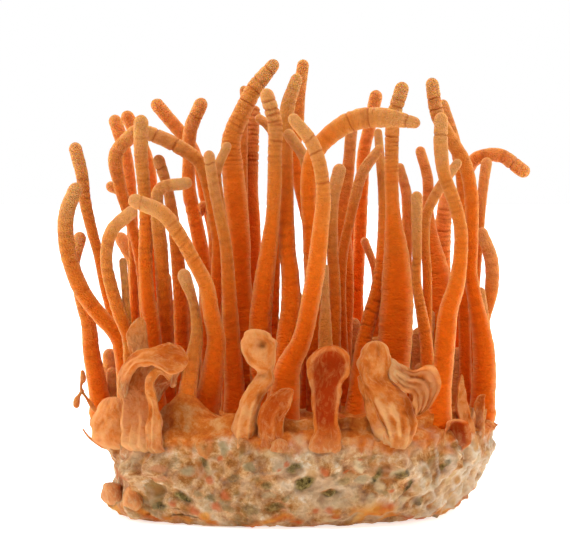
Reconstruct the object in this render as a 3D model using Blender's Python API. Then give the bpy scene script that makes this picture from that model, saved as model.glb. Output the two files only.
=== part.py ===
"""Cordyceps bunch: a round cake of grain with club-shaped fruiting bodies and rim lobes.

The cake is one solid. Each fruiting body (stroma) and each fleshy lobe is a
solid of its own that stands on the cake's flat top, a hair's breadth clear of it.
The origin is at the middle of the cake's underside: +Z is up, -Y is the front.
"""
import math

import bmesh
import bpy
from mathutils import Matrix, Vector

MM = 0.001

# ---- driving dimensions, in millimetres ----
CAKE_HEIGHT = 20.0          # flat top of the cake above its flat underside
JOINT_GAP = 0.4             # clear space between the cake's top and what grows on it
FOOT = CAKE_HEIGHT + JOINT_GAP
CAKE_SEGMENTS = 40
CAKE_SQUARENESS = 2.3       # exponent of the outline: 2 is an ellipse, more is fuller
# height, centre x, half width (X), half depth (Y)
CAKE_LEVELS = [
    (0.0, -2.5, 35.5, 36.0),
    (3.0, -1.5, 38.0, 38.0),
    (8.0, 0.7, 39.8, 39.5),
    (14.0, 1.5, 42.0, 40.4),
    (18.4, 1.2, 43.6, 40.9),
    (CAKE_HEIGHT, 1.0, 43.2, 40.3),
]
# the outline's waves: share of the radius, waves in one turn, and where they start
RIM_WAVES = [(0.010, 3, 0.6), (0.006, 7, 2.0)]

STEM_SIDES = 6
STEM_RING_SPACING = 6.0
STEM_FEWEST_RINGS = 6
LOBE_SIDES = 8
LOBE_RING_SPACING = 3.2
LOBE_FEWEST_RINGS = 5
CURVE_STEPS = 12            # short straight steps that stand for the curve between two route points
HEAD_SHOULDER = (0.60, 0.78)    # last ring: share of the radius past the end, and its size

# ---- the fruiting bodies ----
# number, depth (Y) of the foot, depth of the head, then the way up from the foot:
# (X, Z, radius). Depth changes evenly from foot to head.
STROMATA = [
    ("01", -9, -14, [
        (-34, FOOT, 1.9), (-35, 35, 1.8), (-38, 40, 1.7), (-41.5, 44, 1.7), (-44, 48.5, 1.8),
        (-45.5, 52.5, 1.7), (-46.5, 57.5, 1.7), (-46.5, 62, 1.7), (-46, 65.5, 1.7), (-44.5, 68, 1.5),
    ]),
    ("02", 0, -4, [
        (-34.5, FOOT, 1.5), (-36, 38, 1.3), (-37.5, 42.5, 1.3), (-39, 48, 1.2), (-40.5, 55, 1.1),
        (-42, 60.5, 1.2), (-43, 65, 1.3), (-43.5, 69, 1.3), (-44, 73, 1.4), (-45, 76.5, 1.4),
    ]),
    ("03", -17, -24, [
        (-32, FOOT, 1.7), (-33, 36.5, 1.5), (-34.5, 41, 1.5), (-36, 46, 1.4), (-37.5, 51.5, 1.3),
        (-37.5, 55, 1.3), (-36.5, 59.5, 1.4), (-35, 62.5, 1.4), (-32.5, 63.5, 1.4),
    ]),
    ("04", 2, 0, [
        (-40, FOOT, 2.2), (-41, 27.5, 2), (-42, 32.5, 1.9), (-42, 37, 1.7), (-43.5, 41.5, 1.5),
        (-44.5, 46, 1.3), (-45.5, 51.5, 1), (-45.5, 55, 0.9), (-44.5, 57.5, 1.4),
    ]),
    ("05", 16, 19, [
        (-34, FOOT, 1.5), (-34.5, 39.5, 1.3), (-34, 47, 1.3), (-34, 52, 1.4), (-35.5, 55, 1.7),
        (-36.5, 57, 1.4),
    ]),
    ("06", 27, 23, [
        (-33, FOOT, 1.4), (-34, 43.5, 1.3), (-34.5, 62, 1.3), (-35, 70, 1.4), (-36, 76, 1.5),
        (-37, 79.5, 1.5), (-38, 82.5, 1.5),
    ]),
    ("07", 33, 28, [
        (-28.5, FOOT, 1.4), (-29.5, 43, 1.3), (-30, 61, 1.3), (-30.5, 70, 1.3), (-31.5, 75.5, 1.4),
        (-33.5, 79.5, 1.5), (-35.5, 83.5, 1.5),
    ]),
    ("08", -14, -9, [
        (-27.5, FOOT, 1.9), (-28.5, 39, 1.7), (-29.5, 45, 1.6), (-30, 52, 1.5), (-30, 58.5, 1.5),
        (-30, 65, 1.4), (-30.5, 70, 1.4), (-31, 74.5, 1.5), (-31, 78.5, 1.5), (-31, 82, 1.6),
    ]),
    ("09", 7, 1, [
        (-30, FOOT, 1.5), (-30.5, 40, 1.4), (-31.5, 51.5, 1.3), (-33, 58.5, 1.2), (-34.5, 63.5, 1.2),
        (-36, 69, 1.4), (-37, 73.5, 1.5), (-36.5, 76.5, 1.6), (-35, 78.5, 1.5), (-33, 80, 1.5),
    ]),
    ("10", -2, -4, [
        (-16, FOOT, 1.5), (-15.5, 44.5, 1.4), (-15, 56.5, 1.3), (-16, 63, 1.3), (-17, 68, 1.3),
        (-18.5, 73, 1.4), (-21, 76, 1.5), (-24, 77.5, 1.6), (-27, 79, 1.5), (-29.5, 80, 1.5),
    ]),
    ("11", -23, -32, [
        (-17.5, FOOT, 2.7), (-16, 29.5, 2.3), (-15, 34, 2.1), (-15, 38, 1.9), (-16, 43.5, 1.7),
        (-17, 49, 1.6), (-19.5, 54, 1.5), (-22, 58.5, 1.5), (-24, 62, 1.6), (-27, 64.5, 1.6),
        (-29, 65.5, 1.6), (-31, 66, 1.5),
    ]),
    ("12", 22, 18, [
        (-14.5, FOOT, 1.4), (-15.5, 43.5, 1.3), (-16.5, 58, 1.2), (-18, 64.5, 1.3), (-19, 71, 1.4),
        (-21, 76.5, 1.4), (-23.5, 80.5, 1.5), (-26.5, 83, 1.5), (-28.5, 86, 1.5),
    ]),
    ("13", 10, 9, [
        (-17.5, FOOT, 1.7), (-17.5, 42, 1.6), (-18.5, 52.5, 1.6), (-20, 60.5, 1.6), (-21.5, 68, 1.5),
        (-21.5, 74.5, 1.4), (-21.5, 79, 1.5), (-20.5, 82.5, 1.6), (-19, 86, 1.5),
    ]),
    ("14", 3, -2, [
        (-22.5, FOOT, 1.7), (-23, 42.5, 1.6), (-23.5, 51.5, 1.5), (-24.5, 61, 1.3), (-25.5, 67.5, 1.1),
        (-27, 71.5, 1.2), (-27.5, 74, 1.3),
    ]),
    ("15", -5.6, -15.4, [
        (-25.5, FOOT, 1.8), (-26, 39.5, 1.6), (-26.5, 50.5, 1.5), (-27, 58.5, 1.5), (-27.5, 63.5, 1.4),
        (-27.5, 67, 1.3), (-26, 69, 1.3), (-23.5, 70, 1.3), (-21.5, 69.5, 1.3),
    ]),
    ("16", -14, -18, [
        (-11, FOOT, 2.3), (-12, 38, 1.8), (-12.5, 47.5, 1.5), (-13, 55.5, 1.3), (-14, 61, 1.3),
        (-15, 66, 1.2), (-16, 71, 1.2), (-16.5, 75, 1.2),
    ]),
    ("17", -10.5, -13, [
        (-13, FOOT, 1.2), (-13, 45, 1.1), (-13.5, 57.5, 1), (-14.5, 66, 1), (-15, 72, 1),
        (-14.5, 75.5, 1.1), (-13, 77, 1),
    ]),
    ("18", -6, -6, [
        (-9, FOOT, 2.4), (-9.5, 38.5, 2.2), (-10, 48, 2.1), (-10.5, 59, 2.3), (-11.5, 68.5, 2.4),
        (-12, 74.5, 2.2), (-12, 79.5, 2), (-10, 84, 1.9), (-8, 88, 1.8), (-5.5, 92, 1.7),
        (-3.5, 94, 1.4),
    ]),
    ("19", -13.4, -17, [
        (-5, FOOT, 2.7), (-6, 39, 2.4), (-5.5, 46, 2.2), (-4.5, 54, 1.9), (-3.5, 61.5, 1.5),
        (-3, 70, 1.5), (-3, 77.5, 1.5), (-3, 83.5, 1.6), (-4.5, 87.5, 1.5),
    ]),
    ("20", 15, 13, [
        (-7, FOOT, 1.5), (-7.5, 44, 1.4), (-7.5, 58.5, 1.4), (-8, 68, 1.3), (-8, 75.5, 1.6),
        (-8, 80.5, 1.6), (-7.5, 84.5, 1.4),
    ]),
    ("21", 6, 12, [
        (6, FOOT, 1.4), (5.5, 44, 1.3), (4.5, 58, 1.2), (3, 65.5, 1.3), (1.5, 73, 1.3),
        (1.5, 79.5, 1.3), (2.5, 85.5, 1.3), (2, 90, 1.5), (3, 94.5, 1.3),
    ]),
    ("22", -20, -7.4, [
        (-2.5, FOOT, 2.8), (-0.5, 36, 2.4), (0.5, 45.5, 2.1), (0, 52, 1.8), (-0.5, 58.5, 1.7),
        (-0.5, 66, 1.5), (-0.5, 73.5, 1.4), (-0.5, 81.5, 1.4), (0, 87.5, 1.6), (1.5, 91, 1.3),
    ]),
    ("23", 0, -14, [
        (3.5, FOOT, 1.4), (4.5, 45, 1.3), (4.5, 60.5, 1.2), (4, 69, 1.2), (3, 75.5, 1.2),
        (1.5, 78, 1.3), (0, 79.5, 1.2),
    ]),
    ("24", -29, -33, [
        (-1.5, FOOT, 3.3), (0, 33, 2.5), (2.5, 37.5, 2), (4, 44, 1.9), (5, 49.5, 1.9),
        (6, 56.5, 1.8), (6.5, 62.5, 1.6), (7, 68.5, 1.5), (6, 74, 1.4), (4.5, 78, 1.4),
        (2.5, 80.5, 1.4), (1, 82.5, 1.2),
    ]),
    ("25", -10, -25, [
        (5.5, FOOT, 1.8), (5, 45, 1.7), (4.5, 59, 1.7), (4, 68.5, 1.7), (4.5, 74, 1.7),
        (7, 78, 1.9), (11, 81.5, 2.1), (16, 83, 2.2), (20.5, 83, 2), (23.5, 83, 1.7),
        (25.5, 82, 1.2),
    ]),
    ("26", 25, 22, [
        (16, FOOT, 1.5), (15, 43.5, 1.4), (15.5, 55.5, 1.4), (16, 67.5, 1.4), (16.5, 76.5, 1.4),
        (17.5, 81, 1.4), (18.5, 85, 1.5), (19, 88, 1.4),
    ]),
    ("27", -12, -10, [
        (21.5, FOOT, 2), (22, 39, 1.8), (22.5, 47, 1.6), (22.5, 56.5, 1.6), (21.5, 66, 1.5),
        (21.5, 75.5, 1.5), (21.5, 81, 1.5), (22.5, 86, 1.5), (23.5, 89, 1.5),
    ]),
    ("28", 11, 8, [
        (11.5, FOOT, 2.1), (12, 37.5, 1.7), (12.5, 47.5, 1.6), (12, 56, 1.6), (11.5, 63, 1.6),
        (12.5, 70, 1.4), (13, 75.5, 1.3), (13.5, 81.5, 1.3),
    ]),
    ("29", -13, -9, [
        (9, FOOT, 1.7), (9.5, 39, 1.4), (9.5, 48, 1.3), (9, 56.5, 1.2), (9, 63, 1.3),
        (9.5, 69, 1.4), (10.5, 72, 1.4),
    ]),
    ("30", 31, 31, [
        (14, FOOT, 1.2), (14, 38.5, 1), (14, 51, 0.8), (14.5, 61, 0.8), (16, 70, 0.8),
        (16, 75.5, 0.8),
    ]),
    ("31", 2, -3, [
        (12, FOOT, 1.6), (11, 40.5, 1.3), (11, 50, 1.2), (12, 58, 1.1), (13.5, 63.5, 1.1),
        (14.5, 69, 1.2), (16, 72.5, 1.2), (17.5, 75, 1.2), (19, 76.5, 1),
    ]),
    ("32", -17, 3, [
        (13.5, FOOT, 2.1), (15.5, 35.5, 1.7), (17, 41.5, 1.6), (18.5, 46.5, 1.5), (19.5, 52, 1.5),
        (20, 59, 1.3), (20, 66, 1.1), (19.5, 73, 1), (19, 80, 0.9),
    ]),
    ("33", 15, 12, [
        (25, FOOT, 1.4), (25.5, 37.5, 1.2), (25.5, 46, 1.2), (25.5, 56, 1.1), (25.5, 64.5, 1.1),
        (25, 70, 1.2), (24, 72.5, 1),
    ]),
    ("34", 11, 14, [
        (32, FOOT, 1.6), (32, 38.5, 1.4), (32.5, 44.5, 1.3), (32, 51, 1.2), (30.5, 58, 1.2),
        (30, 64.5, 1.2), (30, 70.5, 1.2), (29, 74, 1.2), (28.5, 76, 1.1),
    ]),
    ("35", -19, -15, [
        (29, FOOT, 1.7), (28.5, 35, 1.4), (27.5, 42.5, 1.2), (26.5, 48, 1), (26.5, 54.5, 1),
        (26.5, 61, 1.1), (26.5, 66.5, 1.2),
    ]),
    ("36", -1, -8, [
        (41, FOOT, 2.4), (41.5, 29.5, 2.5), (41, 36, 2.2), (40, 42, 1.8), (38.5, 48.5, 1.5),
        (38.5, 55.5, 1.4), (38.5, 65, 1.5), (37.5, 72, 1.5), (36, 75, 1.5), (34, 78.5, 1.5),
        (31.5, 82.5, 1.5), (30.5, 87, 1.5), (30, 90, 1.4),
    ]),
    ("37", 6, 5, [
        (38, FOOT, 1.4), (37.5, 44.5, 1.3), (37, 59.5, 1.3), (37, 70, 1.3), (35.5, 77.5, 1.3),
        (34, 83, 1.2), (33, 86, 1.1),
    ]),
    ("38", -27, -26, [
        (30.5, FOOT, 2.3), (31.5, 32.5, 2.1), (32, 38, 2.1), (32.5, 43, 2), (34, 48, 1.8),
        (35, 54.5, 1.5), (35, 60.5, 1.4), (33.5, 66.5, 1.4), (31.5, 72, 1.4), (31, 76.5, 1.5),
        (31, 80.5, 1.5), (31, 82.5, 1.4),
    ]),
    ("39", -6, -12, [
        (29, FOOT, 1.4), (29, 40.5, 1.1), (29, 50, 1), (28.5, 57.5, 1), (29, 64, 1.1),
        (30.5, 67, 1.2), (32.5, 70, 1.1), (35, 73.5, 1),
    ]),
    ("40", 21, 13, [
        (36.5, FOOT, 1.5), (37, 43.5, 1.4), (37.5, 59, 1.4), (38, 67.5, 1.5), (39.5, 73.5, 1.5),
        (42, 75, 1.5), (44.5, 75.5, 1.5), (47, 74.5, 1.6), (50.5, 72, 1.5),
    ]),
    ("41", 13, 10, [
        (40, FOOT, 1.4), (40, 44, 1.2), (41, 56, 0.9), (41.5, 64.5, 1), (42, 70, 1.2),
        (42.5, 73.5, 1.2),
    ]),
    ("42", 8, 7, [
        (40.5, FOOT, 1.4), (41.5, 36.5, 1), (43, 42.5, 1.2), (43.5, 47.5, 1.5), (43.5, 52.5, 1.5),
        (42.5, 56.5, 1.3), (41.5, 58.5, 1.2),
    ]),
    ("43", 4, 4, [
        (41, FOOT, 1.5), (42, 33.5, 1.3), (42, 39, 1), (41.5, 43, 1), (41, 46, 1),
    ]),
    ("44", 30, 29, [
        (35, FOOT, 1.6), (35, 41, 1.2), (34.5, 50.5, 1.3), (34, 54.5, 1.8), (34, 58.5, 2),
        (34.5, 64, 1.6), (35, 68, 1.2),
    ]),
    ("45", 18, 16, [
        (18.5, FOOT, 1.3), (19, 37, 1.1), (19, 45.5, 0.8), (18.5, 51, 0.8), (18, 55, 0.9),
        (16.5, 56.5, 0.9),
    ]),
    ("46", -21, -19, [
        (8, FOOT, 1.9), (7.5, 37, 1.5), (7.5, 43, 1.1), (7.5, 47.5, 0.8), (7.5, 52, 0.7),
    ]),
    ("47", -30, -24, [
        (-21.5, FOOT, 2), (-20, 32.5, 1.7), (-19, 36.5, 1.4), (-19, 40.5, 1.2), (-19.5, 44.5, 1),
        (-20.5, 48, 1.1), (-21.5, 50.5, 1.4),
    ]),
    ("48", 8, 8, [
        (-38, FOOT, 2.2), (-38, 29, 2.2), (-38.5, 32, 1.6),
    ]),
]

# ---- the lobes at the rim ----
# name, then the way up: (X, Y, Z, half width, half depth)
LOBES = [
    ("lobe_hood", [
        (-30.0, -26.5, FOOT, 3.6, 2.4), (-30.3, -27.5, 24.0, 4.0, 2.6), (-30.6, -29.5, 29.5, 3.9, 2.6),
        (-28.6, -32.0, 33.6, 3.2, 2.4), (-24.8, -34.3, 34.2, 2.3, 1.7), (-22.8, -35.0, 32.4, 1.3, 1.2),
    ]),
    ("lobe_back_ear", [
        (-29.0, -22.0, FOOT, 1.6, 1.0), (-30.2, -22.6, 28.0, 1.7, 1.0), (-31.0, -23.4, 35.5, 2.0, 1.1),
        (-30.8, -23.8, 39.0, 2.2, 1.1), (-30.8, -23.8, 41.4, 1.4, 1.0),
    ]),
    ("lobe_knob", [
        (-9.2, -36.3, FOOT, 2.4, 2.3), (-8.9, -36.8, 23.0, 2.4, 2.3), (-7.7, -37.0, 26.0, 2.4, 2.2),
        (-5.4, -37.0, 29.8, 1.9, 1.9), (-4.9, -37.0, 32.2, 1.9, 1.9), (-5.8, -37.2, 34.4, 3.3, 3.0),
        (-6.2, -37.2, 36.6, 3.4, 3.1),
    ]),
    ("lobe_hook", [
        (-3.2, -36.8, FOOT, 2.1, 2.1), (-3.5, -37.0, 22.4, 2.1, 2.1), (-2.3, -37.2, 26.4, 1.8, 1.8),
        (-0.9, -37.4, 28.2, 1.0, 1.0),
    ]),
    ("lobe_spoon", [
        (7.3, -37.3, FOOT, 2.8, 2.2), (7.4, -37.6, 23.5, 2.7, 2.1), (7.5, -37.9, 28.5, 3.2, 2.2),
        (8.0, -38.0, 33.4, 4.2, 2.2), (8.0, -37.8, 35.4, 3.8, 2.0),
    ]),
    ("lobe_ear", [
        (22.0, -34.2, FOOT, 3.5, 2.4), (20.7, -35.4, 24.1, 4.2, 2.8), (18.7, -36.5, 29.2, 3.7, 2.6),
        (19.0, -37.0, 34.0, 2.9, 2.3), (22.8, -37.0, 35.4, 2.0, 2.2), (26.8, -36.5, 33.4, 1.9, 2.4),
        (29.0, -36.0, 30.0, 1.7, 2.4), (28.2, -35.5, 26.4, 1.5, 2.0),
    ]),
    ("lobe_right_fold", [
        (36.2, -22.5, FOOT, 1.4, 1.2), (34.8, -23.0, 25.5, 1.1, 1.0), (35.0, -23.5, 30.0, 0.8, 0.8),
    ]),
    ("lobe_right_sprout", [
        (38.1, -17.0, FOOT, 0.9, 0.9), (38.7, -17.5, 23.6, 0.9, 0.9), (39.4, -18.0, 26.0, 0.7, 0.7),
    ]),
    ("lobe_rear_left", [
        (-14.0, 34.0, FOOT, 2.6, 2.0), (-14.8, 35.0, 25.0, 3.0, 1.9), (-16.2, 35.6, 30.0, 3.3, 1.7),
        (-16.6, 35.4, 33.5, 2.6, 1.6),
    ]),
    ("lobe_rear_middle", [
        (3.0, 35.5, FOOT, 2.2, 2.2), (3.6, 36.4, 24.5, 2.2, 2.2), (5.2, 36.8, 28.5, 2.0, 2.0),
        (7.6, 36.6, 31.0, 1.5, 1.6),
    ]),
    ("lobe_rear_right", [
        (22.5, 32.0, FOOT, 2.8, 2.2), (23.0, 33.0, 25.0, 3.2, 2.2), (22.0, 33.4, 30.5, 3.4, 2.0),
        (FOOT, 33.0, 34.0, 2.6, 1.8),
    ]),
]


def new_material(name, colour, roughness):
    """A plain matte material of the real thing's colour (linear RGB)."""
    material = bpy.data.materials.new(name)
    material.use_nodes = True
    shader = material.node_tree.nodes["Principled BSDF"]
    shader.inputs["Base Color"].default_value = (*colour, 1.0)
    shader.inputs["Roughness"].default_value = roughness
    shader.inputs["Metallic"].default_value = 0.0
    return material


def add_node(name, bm, material):
    """Turn a finished bmesh, in millimetres, into a named object."""
    bmesh.ops.recalc_face_normals(bm, faces=bm.faces)
    bmesh.ops.scale(bm, vec=(MM, MM, MM), verts=bm.verts)
    mesh = bpy.data.meshes.new(name)
    bm.to_mesh(mesh)
    bm.free()
    mesh.materials.append(material)
    mesh.shade_smooth()
    node = bpy.data.objects.new(name, mesh)
    bpy.context.scene.collection.objects.link(node)
    return node


def cake_level(height):
    """Centre x, half width and half depth of the cake at a height."""
    for low, high in zip(CAKE_LEVELS, CAKE_LEVELS[1:]):
        if height <= high[0] + 1e-6:
            share = (height - low[0]) / (high[0] - low[0])
            return [a + (b - a) * share for a, b in zip(low[1:], high[1:])]
    return CAKE_LEVELS[-1][1:]


def make_cake(material):
    """The grain cake: a drum cut into levels, then each ring eased to its outline."""
    bm = bmesh.new()
    bmesh.ops.create_cone(
        bm, cap_ends=True, segments=CAKE_SEGMENTS, radius1=1.0, radius2=1.0, depth=CAKE_HEIGHT,
    )
    bmesh.ops.translate(bm, vec=(0.0, 0.0, CAKE_HEIGHT / 2), verts=bm.verts)
    for height, *_ in CAKE_LEVELS[1:-1]:
        bmesh.ops.bisect_plane(
            bm, geom=bm.verts[:] + bm.edges[:] + bm.faces[:],
            plane_co=(0.0, 0.0, height), plane_no=(0.0, 0.0, 1.0),
        )
    for vert in bm.verts:
        turn = math.atan2(vert.co.y, vert.co.x)
        cos, sin = math.cos(turn), math.sin(turn)
        reach = (abs(cos) ** CAKE_SQUARENESS + abs(sin) ** CAKE_SQUARENESS) ** (-1 / CAKE_SQUARENESS)
        reach *= 1 + sum(share * math.sin(count * turn + start) for share, count, start in RIM_WAVES)
        centre, half_width, half_depth = cake_level(vert.co.z)
        vert.co.x = centre + half_width * reach * cos
        vert.co.y = half_depth * reach * sin
    return add_node("substrate_cake", bm, material)


def smooth_route(points, spacing, fewest):
    """Stations at even distances on a smooth curve through the points.

    A point is any tuple that starts with X, Y, Z. The numbers after them, such
    as radii, are eased along the curve in the same way.
    """
    rows = [Vector(p) for p in points]
    rows = [rows[0] * 2 - rows[1], *rows, rows[-1] * 2 - rows[-2]]
    fine = []
    for a, b, c, d in zip(rows, rows[1:], rows[2:], rows[3:]):
        for step in range(CURVE_STEPS):
            t = step / CURVE_STEPS
            bend = (a * 2 - b * 5 + c * 4 - d) * t ** 2
            sway = (b * 3 - a - c * 3 + d) * t ** 3
            fine.append((b * 2 + (c - a) * t + bend + sway) / 2)
    fine.append(rows[-2])
    run = [0.0]
    for a, b in zip(fine, fine[1:]):
        run.append(run[-1] + (Vector(b[:3]) - Vector(a[:3])).length)
    count = max(fewest, round(run[-1] / spacing) + 1)
    stations = []
    for k in range(count):
        target = run[-1] * k / (count - 1)
        i = max(j for j in range(len(run)) if run[j] <= target + 1e-9)
        if i == len(run) - 1:
            stations.append(fine[-1])
        else:
            stations.append(fine[i].lerp(fine[i + 1], (target - run[i]) / (run[i + 1] - run[i])))
    return stations


def ring_matrix(centre, ahead, half_width, half_depth):
    """Puts a unit circle at a station: its plane faces ahead, its depth runs along Y."""
    forward = ahead.normalized()
    depth = (Vector((0, 1, 0)) - forward * forward.y).normalized()
    width = depth.cross(forward)
    turn = Matrix((width, depth, forward)).transposed().to_4x4()
    size = Matrix.Diagonal((half_width, half_depth, 1.0, 1.0))
    return Matrix.Translation(centre) @ turn @ size


def grow(name, stations, sides, material):
    """A closed club: rings extruded from station to station, with a rounded head."""
    places = [Vector(s[:3]) for s in stations]
    widths = [s[3] for s in stations]
    depths = [s[-1] for s in stations]
    tangents = [b - a for a, b in zip(places, places[1:])]
    ahead = [Vector((0, 0, 1))] + [a.normalized() + b.normalized() for a, b in zip(tangents, tangents[1:])]
    ahead.append(tangents[-1])
    rings = [ring_matrix(*row) for row in zip(places, ahead, widths, depths)]
    end = tangents[-1].normalized()
    past, size = HEAD_SHOULDER
    reach = (widths[-1] + depths[-1]) / 2
    rings.append(ring_matrix(places[-1] + end * reach * past, end, widths[-1] * size, depths[-1] * size))

    bm = bmesh.new()
    bmesh.ops.create_circle(bm, cap_ends=True, segments=sides, radius=1.0)
    bmesh.ops.transform(bm, matrix=rings[0], verts=bm.verts)
    edges = bm.edges[:]
    for before, after in zip(rings, rings[1:]):
        grown = bmesh.ops.extrude_edge_only(bm, edges=edges)["geom"]
        verts = [g for g in grown if isinstance(g, bmesh.types.BMVert)]
        edges = [g for g in grown if isinstance(g, bmesh.types.BMEdge)]
        bmesh.ops.transform(bm, matrix=after @ before.inverted(), verts=verts)
    grown = bmesh.ops.extrude_edge_only(bm, edges=edges)["geom"]
    verts = [g for g in grown if isinstance(g, bmesh.types.BMVert)]
    bmesh.ops.pointmerge(bm, verts=verts, merge_co=places[-1] + end * reach)
    return add_node(name, bm, material)


def stem_points(foot_depth, head_depth, route):
    """Gives each (X, Z, radius) of a route its depth, shared out by distance along it."""
    run = [0.0]
    for a, b in zip(route, route[1:]):
        run.append(run[-1] + math.dist(a[:2], b[:2]))
    return [
        (x, foot_depth + (head_depth - foot_depth) * s / run[-1], z, radius)
        for (x, z, radius), s in zip(route, run)
    ]


for old in list(bpy.data.objects):
    bpy.data.objects.remove(old, do_unlink=True)

GRAIN = new_material("grain_cake", (0.66, 0.47, 0.30), 0.85)
RIND = new_material("lobe_flesh", (0.66, 0.22, 0.07), 0.7)
FLESH = new_material("stroma_flesh", (0.68, 0.14, 0.015), 0.65)

make_cake(GRAIN)
for number, foot_depth, head_depth, route in STROMATA:
    stem = smooth_route(stem_points(foot_depth, head_depth, route), STEM_RING_SPACING, STEM_FEWEST_RINGS)
    grow("stroma_" + number, stem, STEM_SIDES, FLESH)
for name, points in LOBES:
    grow(name, smooth_route(points, LOBE_RING_SPACING, LOBE_FEWEST_RINGS), LOBE_SIDES, RIND)
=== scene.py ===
"""A cordyceps bunch: tall orange clubs and curled lobes grown out of a round grain cake."""
import math
import random

import bmesh
import bpy
import numpy as np
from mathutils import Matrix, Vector, noise


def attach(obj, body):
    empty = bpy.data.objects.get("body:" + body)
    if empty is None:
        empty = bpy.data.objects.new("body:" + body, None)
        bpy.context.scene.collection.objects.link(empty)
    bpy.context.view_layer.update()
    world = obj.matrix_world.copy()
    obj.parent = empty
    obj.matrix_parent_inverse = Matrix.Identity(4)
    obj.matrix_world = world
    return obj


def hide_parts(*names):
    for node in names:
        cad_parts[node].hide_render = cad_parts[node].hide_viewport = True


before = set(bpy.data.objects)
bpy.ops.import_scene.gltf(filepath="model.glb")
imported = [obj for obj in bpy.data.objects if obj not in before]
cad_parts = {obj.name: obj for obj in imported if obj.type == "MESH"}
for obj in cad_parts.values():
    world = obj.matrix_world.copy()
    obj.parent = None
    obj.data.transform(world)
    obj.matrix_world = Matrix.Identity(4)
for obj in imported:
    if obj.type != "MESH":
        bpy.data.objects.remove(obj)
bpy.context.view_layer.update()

# ---- The fruiting bodies ----
# Each is one club of dense, rubbery fungus flesh: a smooth stalk, deep orange low down, and a paler,
# powdery, finely granular head. Old heads dry and crack across in rings. Each foot swells into the cake.

MM = 0.001
BODY_SIDES = 28
BODY_ROW = 0.50             # mm between rings along a stalk
HEAD_ROW = 0.24             # and along a head, where the creases are
HEAD_LENGTH = 9.0
TIP_STRETCH = 1.12          # how much longer a rounded tip is than the solid's
ROOT_DEPTH = 3.6            # how far a foot reaches into the cake
ROOT_LEAN = 0.7             # and how far it leans to the middle, for each mm of that
FOOT_FLARE = 0.30           # how much thicker a body is right at its foot
FLARE_RUN = 2.4             # and the mm over which that eases off
CAP_ROWS = 8
WELD = 1e-6                 # metres within which the doubled points of a CAD solid are merged
SEAM_WELD = 2e-7            # and those of a skin, whose rows lie closer
DEEP_CRACK, FAINT_CRACK = 0.30, 0.11            # mm
WRINKLE_GAP, WRINKLE_DEPTH = 2.1, 0.06          # mm, where WRINKLES gives a body no others


def colour(code):
    """A linear RGBA colour from an sRGB hex code."""
    parts = [int(code[i:i + 2], 16) / 255 for i in (0, 2, 4)]
    return (*[p / 12.92 if p <= 0.04045 else ((p + 0.055) / 1.055) ** 2.4 for p in parts], 1.0)


def add(tree, kind, inputs=None, **settings):
    """Adds a shader node: settings are its own, and inputs are values or other nodes' outputs.

    stops are a colour ramp's, as (place, colour): first its two ends, then those between them.
    """
    made = tree.nodes.new("ShaderNode" + kind)
    stops = settings.pop("stops", [])
    for key, value in settings.items():
        setattr(made, key, value)
    for index, (place, shade) in enumerate(stops):
        element = made.color_ramp.elements[index] if index < 2 else made.color_ramp.elements.new(place)
        element.position = place
        element.color = shade
    for key, value in (inputs or {}).items():
        if isinstance(value, bpy.types.NodeSocket):
            tree.links.new(value, made.inputs[key])
        else:
            made.inputs[key].default_value = value
    return made


def ring_rows(node):
    """Ring centres and radii of a CAD club in mm, from its flat foot up to its tip."""
    bm = bmesh.new()
    bm.from_mesh(node.data)
    bmesh.ops.remove_doubles(bm, verts=bm.verts, dist=WELD)
    lowest = min(vert.co.z for vert in bm.verts)
    ring = [vert for vert in bm.verts if vert.co.z < lowest + WELD]
    seen = set(ring)
    rows = []
    while ring:
        centre = sum((vert.co for vert in ring), Vector()) / len(ring)
        radius = sum((vert.co - centre).length for vert in ring) / len(ring)
        rows.append([*(centre / MM), radius / MM])
        beyond = {edge.other_vert(vert) for vert in ring for edge in vert.link_edges} - seen
        ring = sorted(beyond, key=lambda vert: vert.index)
        seen.update(ring)
    bm.free()
    return np.array(rows)


def smooth_line(rows, steps=16):
    """A smooth curve through rows of numbers; the first three are a place."""
    ends = np.vstack([2 * rows[0] - rows[1], rows, 2 * rows[-1] - rows[-2]])
    t = (np.arange(steps) / steps)[:, None]
    spans = []
    for a, b, c, d in zip(ends, ends[1:], ends[2:], ends[3:]):
        bend = (2 * a - 5 * b + 4 * c - d) * t ** 2 + (3 * b - a - 3 * c + d) * t ** 3
        spans.append((2 * b + (c - a) * t + bend) / 2)
    spans.append(rows[-1:])
    line = np.vstack(spans)
    run = np.concatenate([[0.0], np.cumsum(np.linalg.norm(np.diff(line[:, :3], axis=0), axis=1))])
    return line, run


def read_line(line, run, at):
    """Rows of a smooth line at given distances along it, straight on past its ends."""
    rows = np.column_stack([np.interp(at, run, column) for column in line.T])
    start = (line[0, :3] - line[1, :3]) / (run[1] - run[0])
    end = (line[-1, :3] - line[-2, :3]) / (run[-1] - run[-2])
    rows[:, :3] += np.outer(np.clip(-at, 0, None), start)
    rows[:, :3] += np.outer(np.clip(at - run[-1], 0, None), end)
    return rows


def side_axes(places):
    """Unit vectors across a line of places: one to its side, one nearest to +Y."""
    ahead = np.gradient(places, axis=0)
    ahead /= np.linalg.norm(ahead, axis=1)[:, None]
    deep = np.array([0.0, 1.0, 0.0]) - ahead * ahead[:, 1:2]
    deep /= np.linalg.norm(deep, axis=1)[:, None]
    return np.cross(deep, ahead), deep


def ripple(points, scale, seed=0.0):
    """Smooth noise, from -1 to 1, at an array of points in mm; scale is the size of its lumps in mm."""
    flat = (points / scale).reshape(-1, 3) + seed
    values = np.array([noise.noise(point) for point in flat.tolist()])
    return values.reshape(points.shape[:-1])


def in_scene(name, data):
    """A new object of the scene with the given mesh, light or camera."""
    made = bpy.data.objects.new(name, data)
    bpy.context.scene.collection.objects.link(made)
    return made


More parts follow.
